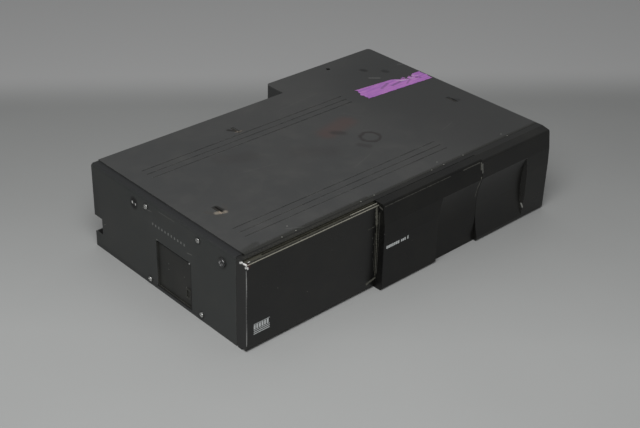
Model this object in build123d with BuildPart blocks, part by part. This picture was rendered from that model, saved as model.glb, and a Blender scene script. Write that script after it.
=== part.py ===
from build123d import *
from math import cos, hypot, pi, radians, sin
import os

# Car CD changer. Millimetres, +Z up, the front faces -Y, +X to the right.
# The origin is on the ground, under the middle of the case and its side bolts.

# Case
case_width = 386.5
case_height = 90.0
case_depth = 223.8            # from the foot of the left panel to the main rear wall
rear_box_width = 150.8
rear_box_depth = 27.4
rear_corner_radius = 4.0
sheet = 1.0                   # steel sheet of the case and its brackets
bend_radius = 3.0             # outside radius of a bent sheet edge
seat_play = 0.3               # gap between pieces that are put together
lip_height = 12.0             # bent-up lips of the chassis, bent-down lips of the cover

# Fascia: the left panel lies back, the door and the right panel stand ahead of it
front_overhang = 9.1
fascia_wall = 2.5
fascia_return = 14.0          # how far the top and bottom bands reach back
band_height = 5.0
left_panel_width = 152.6
panel_crown = 0.9             # bulge of the left panel
shoulder_height = 69.5        # crease across the door and the right panel
shoulder_drop = 2.6           # how far the face leans back from the crease to the top

# Sliding door
door_width = 131.8
door_wall = 1.8
door_lip = 1.25
door_lip_depth = 5.0
door_play = 0.45
door_travel = 132.0
ledge_drop = door_lip + door_play
hook_height = 1.3
hook_thickness = 1.2
hook_setback = 0.6            # from the lip's rear edge to the hook

# Finger scoop, pressed across the door and the right panel
scoop_depth = 5.3
scoop_top = 69.7
scoop_middle = 37.0
scoop_on_door = 59.8
scoop_on_panel = 69.6
scoop_foot_relief = 2.2       # how much deeper the scoop stays at the door's lower edge
scoop_end_slope = 2.0         # run of the scoop's steep right end

# Magazine and its slot
disc_diameter = 120.0
disc_thickness = 1.2
disc_bore = 15.0
disc_sides = 20               # the hidden discs and their seats are many-sided, to keep the mesh light
tray_count = 10
stack_room = 38.0             # height of the case that the stack of trays leaves free
tray_thickness = 2.4
tray_margin = 1.5             # tray rim outside the disc, at its sides
tray_end_margin = 4.9         # and at its front and back
magazine_wall = 1.8
magazine_play = 0.8
magazine_floor = 16.5
eject_travel = 10.5
eject_proud = 0.5             # how far the ejected magazine stands ahead of the left panel's foot

# Side fasteners
screw_sides = 12              # small screws are many-sided, to keep the mesh light
side_screw_radius = 1.5
side_screw_head = 2.4
side_screw_head_height = 1.6
upper_screw_drop = 8.0        # upper side screws and bracket holes, measured down from the cover's top
bracket_drop = 13.8
bracket_thread_radius = 2.1
bracket_bolt_radius = 2.0
bracket_head_radius = 4.0
bracket_head_height = 2.4
bracket_nut_length = 4.0
bracket_nut_radius = 4.6

# Rear wall
socket_inset = 20.0           # from the rear box's left corner to the cable socket
socket_height = 30.0
socket_collar = 7.0
cover_screw_inset = 50.0      # from the corners of the rear walls to the cover's screws

# Mechanism
mech_height = 5.6             # underside of the floating frame
mech_sheet = 1.2
deck_height = 8.0             # underside of the player deck at the lowest tray
post_radius = 2.5
screw_radius = 3.0
running_gap = 0.06
bush_wall = 2.0
bush_height = 8.0
pin_height = 25.0             # the clamp arm's pin at the lowest tray
ear_rise = 4.0                # top of the pin's ears above the pin
lift_headroom = 6.2           # from the ears at the highest tray to the frame over the posts
gear_module = 1.0
gear_teeth = 36
pinion_teeth = 12
gear_thickness = 3.0
sled_stroke = 35.0
lens_start = 23.0             # distance from the spindle to the lens at rest
sled_front = 8.0              # from the lens to the sled's front and back
sled_back = 9.0

# Places worked out from the sizes above
left_x = -case_width / 2
right_x = case_width / 2
panel_y = -(front_overhang + case_depth + rear_box_depth) / 2 + front_overhang
front_y = panel_y - front_overhang
rear_y = panel_y + case_depth
box_y = rear_y + rear_box_depth
box_x = right_x - rear_box_width
door_left = left_x + left_panel_width
door_right = door_left + door_width
door_middle = (door_left + door_right) / 2
plate_inset = sheet + seat_play / 6
cover_height = case_height - sheet
wall_height = cover_height - seat_play / 3
band_back = panel_y + fascia_return
case_front = band_back - 3.5  # front edges of the cover and of the floor, in the fascia's rebates

sides_share = cos(pi / screw_sides)   # from a screw-sided polygon's flats to its corners
tray_pitch = (case_height - stack_room) / tray_count
lift_travel = (tray_count - 1) * tray_pitch
frame_top = pin_height + ear_rise + lift_travel + lift_headroom
tray_length = disc_diameter + 2 * tray_margin
tray_depth = disc_diameter + 2 * tray_end_margin
magazine_width = tray_length + magazine_wall + 2 * seat_play
magazine_depth = tray_depth + 2 * (magazine_wall + seat_play)
magazine_height = tray_count * tray_pitch + 2 * magazine_wall + 1.4
magazine_setback = eject_travel - eject_proud
magazine_left = door_middle - magazine_width / 2
magazine_right = door_middle + magazine_width / 2
magazine_front = panel_y + magazine_setback
magazine_back = magazine_front + magazine_depth
magazine_top = magazine_floor + magazine_height
disc_y = (magazine_front + magazine_back) / 2


def bar(x, y, z, mode=Mode.ADD):
    """A block between two places along each axis."""
    with Locations(((x[0] + x[1]) / 2, (y[0] + y[1]) / 2, (z[0] + z[1]) / 2)):
        Box(x[1] - x[0], y[1] - y[0], z[1] - z[0], mode=mode)


def rod_x(x, y, z, radius, mode=Mode.ADD):
    with Locations(((x[0] + x[1]) / 2, y, z)):
        Cylinder(radius, x[1] - x[0], rotation=(0, 90, 0), mode=mode)


def rod_y(x, y, z, radius, mode=Mode.ADD):
    with Locations((x, (y[0] + y[1]) / 2, z)):
        Cylinder(radius, y[1] - y[0], rotation=(90, 0, 0), mode=mode)


def rod_z(x, y, z, radius, mode=Mode.ADD):
    with Locations((x, y, (z[0] + z[1]) / 2)):
        Cylinder(radius, z[1] - z[0], mode=mode)


def prism_x(x, y, z, radius, sides, mode=Mode.ADD):
    """Many-sided bar along X whose corners lie on the radius: a light stand-in for a small round."""
    with BuildSketch(Plane(origin=(x[0], y, z), x_dir=(0, 1, 0), z_dir=(1, 0, 0))) as section:
        RegularPolygon(radius, sides)
    extrude(section.sketch, amount=x[1] - x[0], mode=mode)


def prism_y(x, y, z, radius, sides, mode=Mode.ADD):
    with BuildSketch(Plane(origin=(x, y[1], z), x_dir=(1, 0, 0), z_dir=(0, -1, 0))) as section:
        RegularPolygon(radius, sides)
    extrude(section.sketch, amount=y[1] - y[0], mode=mode)


def prism_z(x, y, z, radius, sides, mode=Mode.ADD):
    with BuildSketch(Plane(origin=(x, y, z[0]))) as section:
        RegularPolygon(radius, sides)
    extrude(section.sketch, amount=z[1] - z[0], mode=mode)


def outline(corners):
    """Closed face through corners, each given as across, up and corner radius."""
    with BuildLine() as line:
        FilletPolyline([corner[:2] for corner in corners], radius=[corner[2] for corner in corners],
                       close=True)
    make_face(line.edges())


def save(piece, name):
    piece.part.label = name
    export_step(piece.part, f"parts/{name}.step")


os.makedirs("parts", exist_ok=True)

# ---------------------------------------------------------------- sections of the front

crest_y = front_y + 0.7       # the face at the crease
front_shoulder = [
    (crest_y + shoulder_drop, case_height, 2.2),
    (crest_y, shoulder_height, 12.0),
    (front_y, shoulder_height - 18.0, 0.0),
    (front_y, 0.0, 2.5),
]


def panel_face(setback, top, bottom):
    """Front of the left panel from top to bottom, moved back or ahead by setback."""
    crown = panel_y - 0.3 - panel_crown
    ThreePointArc(
        (panel_y - 0.2 + setback, top),
        (crown + setback, case_height / 2),
        (panel_y - 0.4 + setback, bottom),
    )


def panel_section(setback, top, bottom, back):
    """Section behind the left panel's face."""
    with BuildLine() as section:
        panel_face(setback, top, bottom)
        Polyline(section.line @ 1, (back, bottom), (back, top), section.line @ 0)
    make_face(section.edges())


scoop_floor_y = front_y + scoop_depth
scoop_radius = ((scoop_top - scoop_middle) ** 2 + scoop_depth**2) / (2 * scoop_depth)


def scoop_form(left, right, foot_y, skin):
    """The space of the scoop between two places; skin grows it by the wall behind it."""
    crest = (crest_y + skin, scoop_top + skin)
    middle = (scoop_floor_y + skin, scoop_middle)
    foot_z = 2 * scoop_middle - scoop_top if foot_y is None else -1.0
    foot = (front_y + skin, foot_z - skin) if foot_y is None else (foot_y + skin, foot_z)
    slope_left = scoop_depth
    with BuildPart() as form:
        with BuildSketch(Plane.YZ.offset(left)) as section:
            with BuildLine():
                RadiusArc(crest, middle, scoop_radius)
                if foot_y is None:
                    RadiusArc(middle, foot, scoop_radius)
                else:
                    Line(middle, foot)
                Polyline(foot, (front_y - 3, foot[1]), (front_y - 3, crest[1]), crest)
            make_face()
        extrude(amount=right - left)
        if foot_y is not None:
            extrude(section.sketch, amount=slope_left * 2**0.5, dir=(-1, -1, 0))
        else:
            end_face = form.faces().sort_by(Axis.X)[-1]
            extrude(end_face, amount=hypot(scoop_depth, scoop_end_slope), dir=(scoop_end_slope, -scoop_depth, 0))
    return form.part


door_foot_y = front_y + scoop_depth - scoop_foot_relief / 2
door_scoop_left = door_right - scoop_on_door + scoop_depth
panel_scoop_right = door_right + scoop_on_panel - scoop_end_slope
door_scoop = scoop_form(door_scoop_left, door_right + 2, door_foot_y, 0)
door_scoop_back = scoop_form(door_scoop_left - door_wall, door_right + 2, door_foot_y, door_wall)
panel_scoop = scoop_form(door_right - 2, panel_scoop_right, None, 0)
panel_scoop_back = scoop_form(door_right - 2, panel_scoop_right + fascia_wall, None, fascia_wall)

# ---------------------------------------------------------------- sliding door

door_lip_back = panel_y + door_lip_depth
hook_back = door_lip_back - hook_setback
with BuildPart() as door_hollow:
    with BuildSketch(Plane.YZ.offset(door_left + door_wall)):
        outline([
            (panel_y, case_height - door_lip, 0),
            (crest_y + shoulder_drop + door_wall, case_height - door_lip, 1.0),
            (crest_y + door_wall, shoulder_height, 10.0),
            (front_y + door_wall, shoulder_height - 18, 0),
            (front_y + door_wall, door_lip, 1.0),
            (panel_y, door_lip, 0),
        ])
    extrude(amount=door_width - 2 * door_wall)
    add(door_scoop_back, mode=Mode.SUBTRACT)

with BuildPart() as sliding_door:
    with BuildSketch(Plane.YZ.offset(door_left)):
        outline([(door_lip_back, case_height, 0.4)] + front_shoulder + [(door_lip_back, 0, 0.4)])
    extrude(amount=door_width)
    with BuildSketch(Plane.YZ.offset(door_left)):
        panel_section(-door_play, case_height - door_lip, door_lip, door_lip_back + 1)
    extrude(amount=door_width, mode=Mode.SUBTRACT)
    add(door_hollow.part, mode=Mode.SUBTRACT)
    add(door_scoop, mode=Mode.SUBTRACT)
    for lip_z, hook_z in ((case_height - door_lip / 2, -1), (door_lip / 2, 1)):
        hook_end = lip_z + hook_z * (door_lip / 2 + hook_height)
        bar((door_left, door_right), (hook_back - hook_thickness, hook_back), sorted((lip_z, hook_end)))

# ---------------------------------------------------------------- fascia

seam_x = door_right + seat_play
slot_left = magazine_left - magazine_play - 0.2
slot_right = magazine_right + magazine_play + 0.2
slot_bottom = magazine_floor - magazine_play
slot_top = magazine_top + magazine_play
rail_top = case_height - ledge_drop
panel_back = panel_y + fascia_wall - 0.9
groove_front = hook_back - hook_thickness - door_play
groove_back = hook_back + door_play
button_width = 14.0
button_height = 4.0
button_x = slot_right - button_width / 2 - 6.0
button_z = slot_top + button_height / 2 + 3.0

with BuildPart() as right_hollow:
    with BuildSketch(Plane.YZ.offset(seam_x + fascia_wall)):
        outline([
            (band_back + 1, case_height - band_height, 0),
            (crest_y + shoulder_drop + fascia_wall, case_height - band_height, 1.0),
            (crest_y + fascia_wall, shoulder_height, 8.0),
            (front_y + fascia_wall, shoulder_height - 18, 0),
            (front_y + fascia_wall, band_height, 1.0),
            (band_back + 1, band_height, 0),
        ])
    extrude(amount=right_x - seam_x - 2 * fascia_wall)
    add(panel_scoop_back, mode=Mode.SUBTRACT)

with BuildPart() as front_fascia:
    with BuildSketch(Plane.YZ.offset(left_x)):
        with BuildLine() as left_outline:
            panel_face(0, rail_top - 0.8, ledge_drop + 0.8)
            foot = left_outline.line @ 1
            head = left_outline.line @ 0
            Polyline(
                foot,
                (foot.X + 0.8, ledge_drop),
                (door_lip_back + seat_play, ledge_drop),
                (door_lip_back + seat_play, 0),
                (band_back, 0),
                (band_back, case_height),
                (door_lip_back + seat_play, case_height),
                (door_lip_back + seat_play, rail_top),
                (head.X + 0.8, rail_top),
                head,
            )
        make_face()
    extrude(amount=seam_x - left_x)
    with BuildSketch(Plane.YZ.offset(seam_x)):
        outline([
            (band_back, case_height, 0),
            (panel_y + 3.5, case_height, 0),
            (crest_y + shoulder_drop, case_height - 1.9, 2.2),
        ] + front_shoulder[1:] + [(band_back, 0, 0)])
    extrude(amount=right_x - seam_x)
    # hollow behind the left panel and the slot, then behind the right panel
    bar((left_x + fascia_wall, slot_right), (panel_back, band_back + 1),
        (band_height, case_height - band_height), mode=Mode.SUBTRACT)
    add(right_hollow.part, mode=Mode.SUBTRACT)
    add(panel_scoop, mode=Mode.SUBTRACT)
    # slot, eject button hole, and the grooves for the door's hooks
    bar((slot_left, slot_right), (panel_y - 5, panel_back + 1), (slot_bottom, slot_top), mode=Mode.SUBTRACT)
    bar((button_x - button_width / 2 - seat_play, button_x + button_width / 2 + seat_play),
        (panel_y - 5, panel_back + 1),
        (button_z - button_height / 2 - seat_play, button_z + button_height / 2 + seat_play), mode=Mode.SUBTRACT)
    groove_depth = hook_height + seat_play - door_play + 0.3
    for groove_z in ((rail_top - groove_depth, rail_top), (ledge_drop, ledge_drop + groove_depth)):
        bar((door_left - door_travel - door_play, seam_x), (groove_front, groove_back), groove_z,
            mode=Mode.SUBTRACT)
    # rebates for the cover, the floor and the side plates
    for rebate_z in ((cover_height - seat_play, case_height + 1), (-1, sheet + seat_play)):
        bar((left_x - 1, right_x + 1), (case_front - seat_play, band_back + 1), rebate_z, mode=Mode.SUBTRACT)
    plate_front = case_front + 2.0
    for rebate_x in ((left_x - 1, left_x + sheet + seat_play), (right_x - sheet - seat_play, right_x + 1)):
        bar(rebate_x, (plate_front - seat_play, band_back + 1), (-1, case_height + 1), mode=Mode.SUBTRACT)

# ---------------------------------------------------------------- steel case

# from the panel's foot, height
screw_places = [
    (60.1, 6.8), (135.8, 5.9), (62.8, case_height - upper_screw_drop), (137.6, case_height - upper_screw_drop - 0.5)
]
bracket_places = [(30.0, case_height - bracket_drop), (156.4, case_height - bracket_drop - 0.1)]
window_y = (panel_y + 75.0, panel_y + 125.0)
window_z = (4.0, 53.0)
window_overlap = 2.0
notch_depth = 12.0
notch_z = (16.0, 34.0)
notch_y = rear_y - notch_depth + sheet
notch_screw_place = (left_x + plate_inset + 4.5, (notch_z[0] + notch_z[1]) / 2 + 3.0)
tab_width = 14.0
flange_reach = 16.0
socket_x = box_x + socket_inset
cover_screw_z = cover_height - 6.0
cover_screw_places = [
    (left_x + cover_screw_inset, rear_y), (box_x - cover_screw_inset, rear_y),
    (box_x + cover_screw_inset, box_y), (right_x - cover_screw_inset, box_y),
]


def side_plate(side):
    """Sheet side of the case; side is -1 on the left and +1 on the right."""
    outer = side * case_width / 2
    inner = outer - side * sheet
    reach = outer - side * flange_reach
    end_y = rear_y if side < 0 else box_y - 2 * rear_corner_radius
    plate_plane = Plane(origin=(0, end_y, 0), x_dir=(1, 0, 0), z_dir=(0, -1, 0))
    with BuildPart() as plate:
        with BuildSketch(plate_plane):
            outline([
                (outer, 0, 0), (outer, wall_height, bend_radius), (reach, wall_height, 0),
                (reach, wall_height - sheet, 0), (inner, wall_height - sheet, bend_radius - sheet), (inner, 0, 0),
            ])
        extrude(amount=end_y - plate_front)
        # the bent flange stops short of the fascia's band, and on the left of the rear wall too
        stops = [(plate_front - 1, band_back + seat_play)]
        if side < 0:
            stops.append((rear_y - sheet - seat_play, rear_y + 1))
        for stop_y in stops:
            bar(sorted((inner, reach)), stop_y, (wall_height - bend_radius, case_height), mode=Mode.SUBTRACT)
        span = sorted((outer + side, inner - side))
        for place_y, place_z in screw_places:
            prism_x(span, panel_y + place_y, place_z, side_screw_radius + 0.1, screw_sides,
                    mode=Mode.SUBTRACT)
        for place_y, place_z in bracket_places:
            rod_x(span, panel_y + place_y, place_z, bracket_thread_radius, mode=Mode.SUBTRACT)
        if side < 0:
            bar(span, window_y, window_z, mode=Mode.SUBTRACT)
            bar(span, (end_y - notch_depth, end_y + 1), notch_z, mode=Mode.SUBTRACT)
            window_corners = plate.edges().filter_by(Axis.X).filter_by_position(
                Axis.Z, window_z[1] - 0.1, window_z[1] + 0.1)
            fillet(window_corners, 2.0)
    return plate


left_side_plate = side_plate(-1)
right_side_plate = side_plate(1)

floor_left = left_x + plate_inset
floor_right = right_x - plate_inset
wrap_y = box_y - 2 * rear_corner_radius + seat_play

with BuildPart() as bottom_chassis:
    with BuildSketch():
        outline([
            (floor_left, case_front, 0), (floor_right, case_front, 0), (floor_right, wrap_y, 0),
            (right_x, wrap_y, 0), (right_x, box_y, rear_corner_radius), (box_x, box_y, rear_corner_radius),
            (box_x, rear_y, 0), (floor_left, rear_y, 1.0),
        ])
    extrude(amount=wall_height)
    with BuildSketch(Plane.XY.offset(sheet)):
        outline([
            (left_x - 1, case_front - 1, 0), (right_x + 1, case_front - 1, 0), (right_x + 1, wrap_y, 0),
            (right_x - sheet, wrap_y, 0), (right_x - sheet, box_y - sheet, rear_corner_radius - sheet),
            (box_x + sheet, box_y - sheet, rear_corner_radius - sheet), (box_x + sheet, rear_y - sheet, 0),
            (left_x - 1, rear_y - sheet, 0),
        ])
    extrude(amount=case_height, mode=Mode.SUBTRACT)
    for side in (-1, 1):
        lip_outer = side * (case_width / 2 - plate_inset)
        lip_x = sorted((lip_outer, lip_outer - side * sheet))
        lip_end = rear_y - sheet if side < 0 else wrap_y
        bar(lip_x, (band_back + seat_play, lip_end), (sheet, lip_height))
        for place_y, place_z in screw_places[2:]:
            tab_y = panel_y + place_y
            bar(lip_x, (tab_y - tab_width / 2, tab_y + tab_width / 2), (sheet, wall_height - bend_radius - seat_play))
        for place_y, place_z in screw_places:
            prism_x(sorted((lip_outer + side, lip_outer - side * 2)), panel_y + place_y, place_z,
                    side_screw_radius, screw_sides, mode=Mode.SUBTRACT)
    bar((left_x, left_x + 2 * sheet + 1),
        (window_y[0] - window_overlap - seat_play, window_y[1] + window_overlap + seat_play),
        (sheet, lip_height + 1), mode=Mode.SUBTRACT)
    # the left rear corner is cut away at the notch, and a tongue behind it takes the notch screw
    bar((left_x, left_x + notch_depth), (rear_y - notch_depth, rear_y + 1), notch_z, mode=Mode.SUBTRACT)
    tongue_x = left_x + plate_inset
    bar((tongue_x, tongue_x + sheet), (rear_y - notch_depth - 6, rear_y - notch_depth), (sheet, notch_z[1] + 2))
    bar((tongue_x, tongue_x + notch_depth), (rear_y - notch_depth, rear_y - notch_depth + sheet),
        (notch_z[0] - 3, notch_z[1] + 2))
    bar((tongue_x, tongue_x + sheet), (rear_y - notch_depth - 6, rear_y - notch_depth + sheet),
        (notch_z[0] - 3, notch_z[1] + 2))
    prism_y(notch_screw_place[0], (notch_y - 5, notch_y + 1), notch_screw_place[1], side_screw_radius,
            screw_sides, mode=Mode.SUBTRACT)
    rod_y(socket_x, (box_y - 5, box_y + 5), socket_height, socket_collar, mode=Mode.SUBTRACT)
    for place_x, wall_y in cover_screw_places:
        prism_y(place_x, (wall_y - 5, wall_y + 5), cover_screw_z, side_screw_head, screw_sides,
                mode=Mode.SUBTRACT)

cover_left = left_x + 8.3
groove_width = 1.8
groove_depth_cover = 0.45
groove_pitch = 8.2
groove_length = 250.0
groove_start = left_x + 26.0
lance_places = [(35.9, 80.8), (144.3, 189.2), (360.2, 101.1)]
cover_hole = (312.7, 238.6)
with BuildPart() as top_cover:
    with BuildSketch(Plane.XY.offset(cover_height)):
        outline([
            (cover_left, case_front, 0), (right_x, case_front, 0), (right_x, box_y, rear_corner_radius),
            (box_x, box_y, rear_corner_radius), (box_x, rear_y, 0), (cover_left, rear_y, 0),
        ])
    extrude(amount=sheet)
    lip_z = (cover_height - lip_height, cover_height)
    bar((left_x + 24, box_x - 12), (rear_y - 2 * sheet - 0.05, rear_y - sheet - 0.05), lip_z)
    bar((box_x + 12, right_x - 12), (box_y - 2 * sheet - 0.05, box_y - sheet - 0.05), lip_z)
    with BuildSketch(Plane.XY.offset(case_height)):
        for group_y in (panel_y + 40.1, panel_y + 171.3):
            with Locations(*[
                (groove_start + groove_length / 2, group_y + step * groove_pitch) for step in (-1, 0, 1)
            ]):
                Rectangle(groove_length, groove_width)
    extrude(amount=-groove_depth_cover, mode=Mode.SUBTRACT)
    with BuildSketch(Plane.XY.offset(case_height)):
        with Locations(*[(left_x + place[0], panel_y + place[1]) for place in lance_places]):
            Rectangle(4.0, 14.0)
    extrude(amount=-0.6, mode=Mode.SUBTRACT)
    rod_z(left_x + cover_hole[0], panel_y + cover_hole[1], (cover_height - 1, case_height + 1), 2.4,
          mode=Mode.SUBTRACT)
    for place_x, wall_y in cover_screw_places:
        prism_y(place_x, (wall_y - 5, wall_y - 0.5), cover_screw_z, side_screw_radius, screw_sides,
                mode=Mode.SUBTRACT)

with BuildPart() as side_bay_cover:
    cover_face = left_x + 2.0
    bar((left_x + sheet + 0.05, left_x + 3.6),
        (window_y[0] - window_overlap, window_y[1] + window_overlap),
        (sheet + 0.2, window_z[1] + window_overlap))
    bar((left_x, cover_face), (window_y[0], window_y[1]), (window_z[0], window_z[1]), mode=Mode.SUBTRACT)
    # latch in a shallow frame at the lower front corner
    latch_y = (window_y[0] + 2.0, window_y[0] + 9.0)
    bar((left_x + sheet, cover_face), latch_y, (12.0, 22.0))
    bar((left_x, cover_face), (latch_y[0] + 1.2, latch_y[1] - 1.2), (13.2, 20.8), mode=Mode.SUBTRACT)

with BuildPart() as side_screws:
    for side in (-1, 1):
        outer = side * case_width / 2
        for place_y, place_z in screw_places:
            spot = panel_y + place_y
            prism_x(sorted((outer, outer + side * side_screw_head_height)), spot, place_z, side_screw_head,
                    screw_sides)
            prism_x(sorted((outer, outer - side * 6.0)), spot, place_z, side_screw_radius, screw_sides)
    for rim in (side_screws.faces().sort_by(Axis.X)[:4], side_screws.faces().sort_by(Axis.X)[-4:]):
        chamfer(rim.edges(), side_screw_head_height * 0.4)

with BuildPart() as bracket_nuts:
    for side in (-1, 1):
        inner = side * (case_width / 2 - sheet)
        for place_y, place_z in bracket_places:
            nut_plane = Plane(origin=(inner, panel_y + place_y, place_z), x_dir=(0, 1, 0), z_dir=(-side, 0, 0))
            with BuildSketch(nut_plane):
                RegularPolygon(bracket_nut_radius, 6)
                Circle(bracket_thread_radius, mode=Mode.SUBTRACT)
            extrude(amount=bracket_nut_length)

with BuildPart() as bracket_bolts:
    for side in (-1, 1):
        outer = side * case_width / 2
        bolt_y = panel_y + bracket_places[0][0]
        bolt_z = bracket_places[0][1]
        prism_x(sorted((outer, outer - side * (sheet + bracket_nut_length + 2))), bolt_y, bolt_z,
                bracket_bolt_radius, screw_sides)
        head_plane = Plane(origin=(outer, bolt_y, bolt_z), x_dir=(0, 1, 0), z_dir=(side, 0, 0))
        with BuildSketch(head_plane):
            RegularPolygon(bracket_head_radius, 2 * screw_sides)
        extrude(amount=bracket_head_height)
    crowns = bracket_bolts.faces().sort_by(Axis.X)
    chamfer(crowns[0].edges() + crowns[-1].edges(), bracket_head_height * 0.5)

with BuildPart() as notch_screw:
    rod_y(notch_screw_place[0], (notch_y, notch_y + side_screw_head_height), notch_screw_place[1],
          side_screw_head)
    prism_y(notch_screw_place[0], (notch_y - 5, notch_y), notch_screw_place[1], side_screw_radius, screw_sides)

with BuildPart() as cover_screws:
    for place_x, wall_y in cover_screw_places:
        prism_y(place_x, (wall_y - 5, wall_y - sheet), cover_screw_z, side_screw_radius, screw_sides)
        prism_y(place_x, (wall_y - sheet, wall_y), cover_screw_z, side_screw_head, screw_sides)

# ---------------------------------------------------------------- floating frame and magazine guide

mech_top = mech_height + mech_sheet
mech_left = left_x + 10.0
mech_right = magazine_right + 8.0
mech_front = panel_y + 3.2
mech_back = panel_y + 200.0
deck_x = left_x + 80.0
damper_places = [
    (mech_left + 14, mech_front + 24), (mech_right - 14, mech_front + 24),
    (mech_left + 14, mech_back - 14), (mech_right - 14, mech_back - 14),
]
damper_radius = 7.0
mech_step_x = deck_x + 72.0   # the frame lies back from here, behind the fascia's band
mech_window = (90.0, 50.0)
guide_left = magazine_left - 0.8
guide_right = magazine_right + magazine_play
guide_floor = magazine_floor - seat_play
guide_top = slot_top
guide_back = magazine_back + magazine_play + 0.7

with BuildPart() as mech_chassis:
    with BuildSketch(Plane.XY.offset(mech_height)):
        outline([
            (mech_left, mech_front, 4), (mech_step_x, mech_front, 0), (mech_step_x, band_back + 3, 0),
            (mech_right, band_back + 3, 0), (mech_right, mech_back, 4), (mech_left, mech_back, 4),
        ])
        # a window under the magazine that saves weight
        with Locations((door_middle, disc_y)):
            Rectangle(*mech_window, mode=Mode.SUBTRACT)
    extrude(amount=mech_sheet)
    for rib_x in ((mech_left, mech_left + mech_sheet), (mech_right - mech_sheet, mech_right)):
        bar(rib_x, (band_back + 7, mech_back - 4), (mech_height, mech_height + 9))

with BuildPart() as mech_dampers:
    for place in damper_places:
        with BuildSketch(Plane.XY.offset(sheet)):
            with Locations(place):
                RegularPolygon(damper_radius, screw_sides)
        extrude(amount=(mech_height - sheet) / 2, taper=-10)
        with BuildSketch(Plane.XY.offset(mech_height)):
            with Locations(place):
                RegularPolygon(damper_radius, screw_sides)
        extrude(amount=-(mech_height - sheet) / 2, taper=-10)

with BuildPart() as magazine_guide:
    foot_z = mech_top
    wall_x = (guide_right, guide_right + sheet)
    bar((guide_left, guide_right + sheet), (band_back + 4, guide_back + sheet), (guide_floor - sheet, guide_floor))
    bar((guide_left, guide_right + sheet), (band_back + 2, guide_back + sheet), (guide_top, guide_top + sheet))
    bar(wall_x, (band_back + 4, guide_back + sheet), (foot_z, guide_top + sheet))
    bar((guide_left, guide_right + sheet), (guide_back, guide_back + sheet), (guide_floor, guide_top + sheet))
    bar((guide_left, guide_left + sheet), (band_back + 4, guide_back + sheet), (foot_z, guide_floor))
    # windows that lighten the guide's top, and one in its back wall
    with BuildSketch(Plane.XY.offset(guide_top)):
        with Locations((door_middle, disc_y + 6)):
            Rectangle(92, 40)
    extrude(amount=2 * sheet, mode=Mode.SUBTRACT)
    bar((magazine_left + 25, magazine_right - 25), (guide_back - 1, guide_back + 2 * sheet),
        (guide_floor + 12, guide_top - 12), mode=Mode.SUBTRACT)

# ---------------------------------------------------------------- magazine

shelf_height = 0.9
shelf_depth = 1.4
tray_start = magazine_floor + magazine_wall + 0.5
tray_x = (magazine_left + seat_play, magazine_right - magazine_wall - seat_play)
tray_y = (magazine_front + magazine_wall + seat_play, magazine_back - magazine_wall - seat_play)
tray_x_middle = (tray_x[0] + tray_x[1]) / 2
tray_window = (40.0, 76.0)
seat_radius = (disc_diameter / 2 + seat_play) / cos(pi / disc_sides)   # to the corners of a tray's seat
with BuildPart() as magazine_shell:
    bar((magazine_left, magazine_right), (magazine_front, magazine_back), (magazine_floor, magazine_top))
    fillet(magazine_shell.edges().filter_by(Axis.Z).group_by(Axis.Y)[0], 2.0)
    bar((magazine_left - 1, magazine_right - magazine_wall),
        (magazine_front + magazine_wall, magazine_back - magazine_wall),
        (magazine_floor + magazine_wall, magazine_top - magazine_wall), mode=Mode.SUBTRACT)
    # shelves that carry the tray edges, in front of and behind each tray
    for step in range(1, tray_count):
        shelf_z = tray_start + step * tray_pitch - 0.35
        for shelf_y in ((magazine_front + magazine_wall, magazine_front + magazine_wall + shelf_depth),
                        (magazine_back - magazine_wall - shelf_depth, magazine_back - magazine_wall)):
            bar((magazine_left, magazine_right - magazine_wall), shelf_y, (shelf_z - shelf_height, shelf_z))
    # shallow finger recess in the front
    bar((door_middle - 22, door_middle + 22), (magazine_front - 1, magazine_front + 0.8),
        (magazine_floor + 14, magazine_top - 14), mode=Mode.SUBTRACT)

with BuildPart() as disc_trays:
    for step in range(tray_count):
        with BuildSketch(Plane.XY.offset(tray_start + step * tray_pitch)):
            with Locations((tray_x_middle, disc_y)):
                Rectangle(tray_x[1] - tray_x[0], tray_y[1] - tray_y[0])
            # one window for the spindle and for the lens on its way out
            with Locations((tray_x_middle, disc_y + (tray_window[1] - tray_window[0]) / 2)):
                Rectangle(*tray_window, mode=Mode.SUBTRACT)
        extrude(amount=tray_thickness)
        with BuildSketch(Plane.XY.offset(tray_start + step * tray_pitch + tray_thickness)):
            with Locations((tray_x_middle, disc_y)):
                RegularPolygon(seat_radius, disc_sides)
        extrude(amount=-disc_thickness - 0.2, mode=Mode.SUBTRACT)

with BuildPart() as discs:
    for step in range(tray_count):
        disc_z = tray_start + step * tray_pitch + tray_thickness - disc_thickness - 0.2
        with BuildSketch(Plane.XY.offset(disc_z)):
            with Locations((tray_x_middle, disc_y)):
                RegularPolygon(disc_diameter / 2, disc_sides)
                RegularPolygon(disc_bore / 2, disc_sides // 2, mode=Mode.SUBTRACT)
        extrude(amount=disc_thickness)

# ---------------------------------------------------------------- eject button

button_stroke = 2.5
stem_end = panel_y + 38.0
stem_z = (guide_top + sheet + 0.6, guide_top + sheet + 3.6)
with BuildPart() as eject_button:
    bar((button_x - button_width / 2, button_x + button_width / 2), (panel_y - 0.5, panel_back + 4),
        (button_z - button_height / 2, button_z + button_height / 2))
    chamfer(eject_button.edges().filter_by(Axis.Y), 0.8)
    bar((button_x - 3, button_x + 3), (panel_back + 3, stem_end), stem_z)
    bar((button_x - button_width / 2 - 2, button_x + button_width / 2 + 2),
        (panel_back + seat_play, panel_back + seat_play + 1.2),
        (button_z - button_height / 2 - 0.9, button_z + button_height / 2 + 1.2))

with BuildPart() as eject_switch:
    switch_y = stem_end + button_stroke + 0.8
    bar((button_x - 6, button_x + 6), (switch_y, switch_y + 8), (guide_top + sheet, guide_top + sheet + 6))
    bar((button_x - 1.5, button_x + 1.5), (switch_y - 0.6, switch_y), (stem_z[0] + 0.5, stem_z[1] - 0.5))

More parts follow.
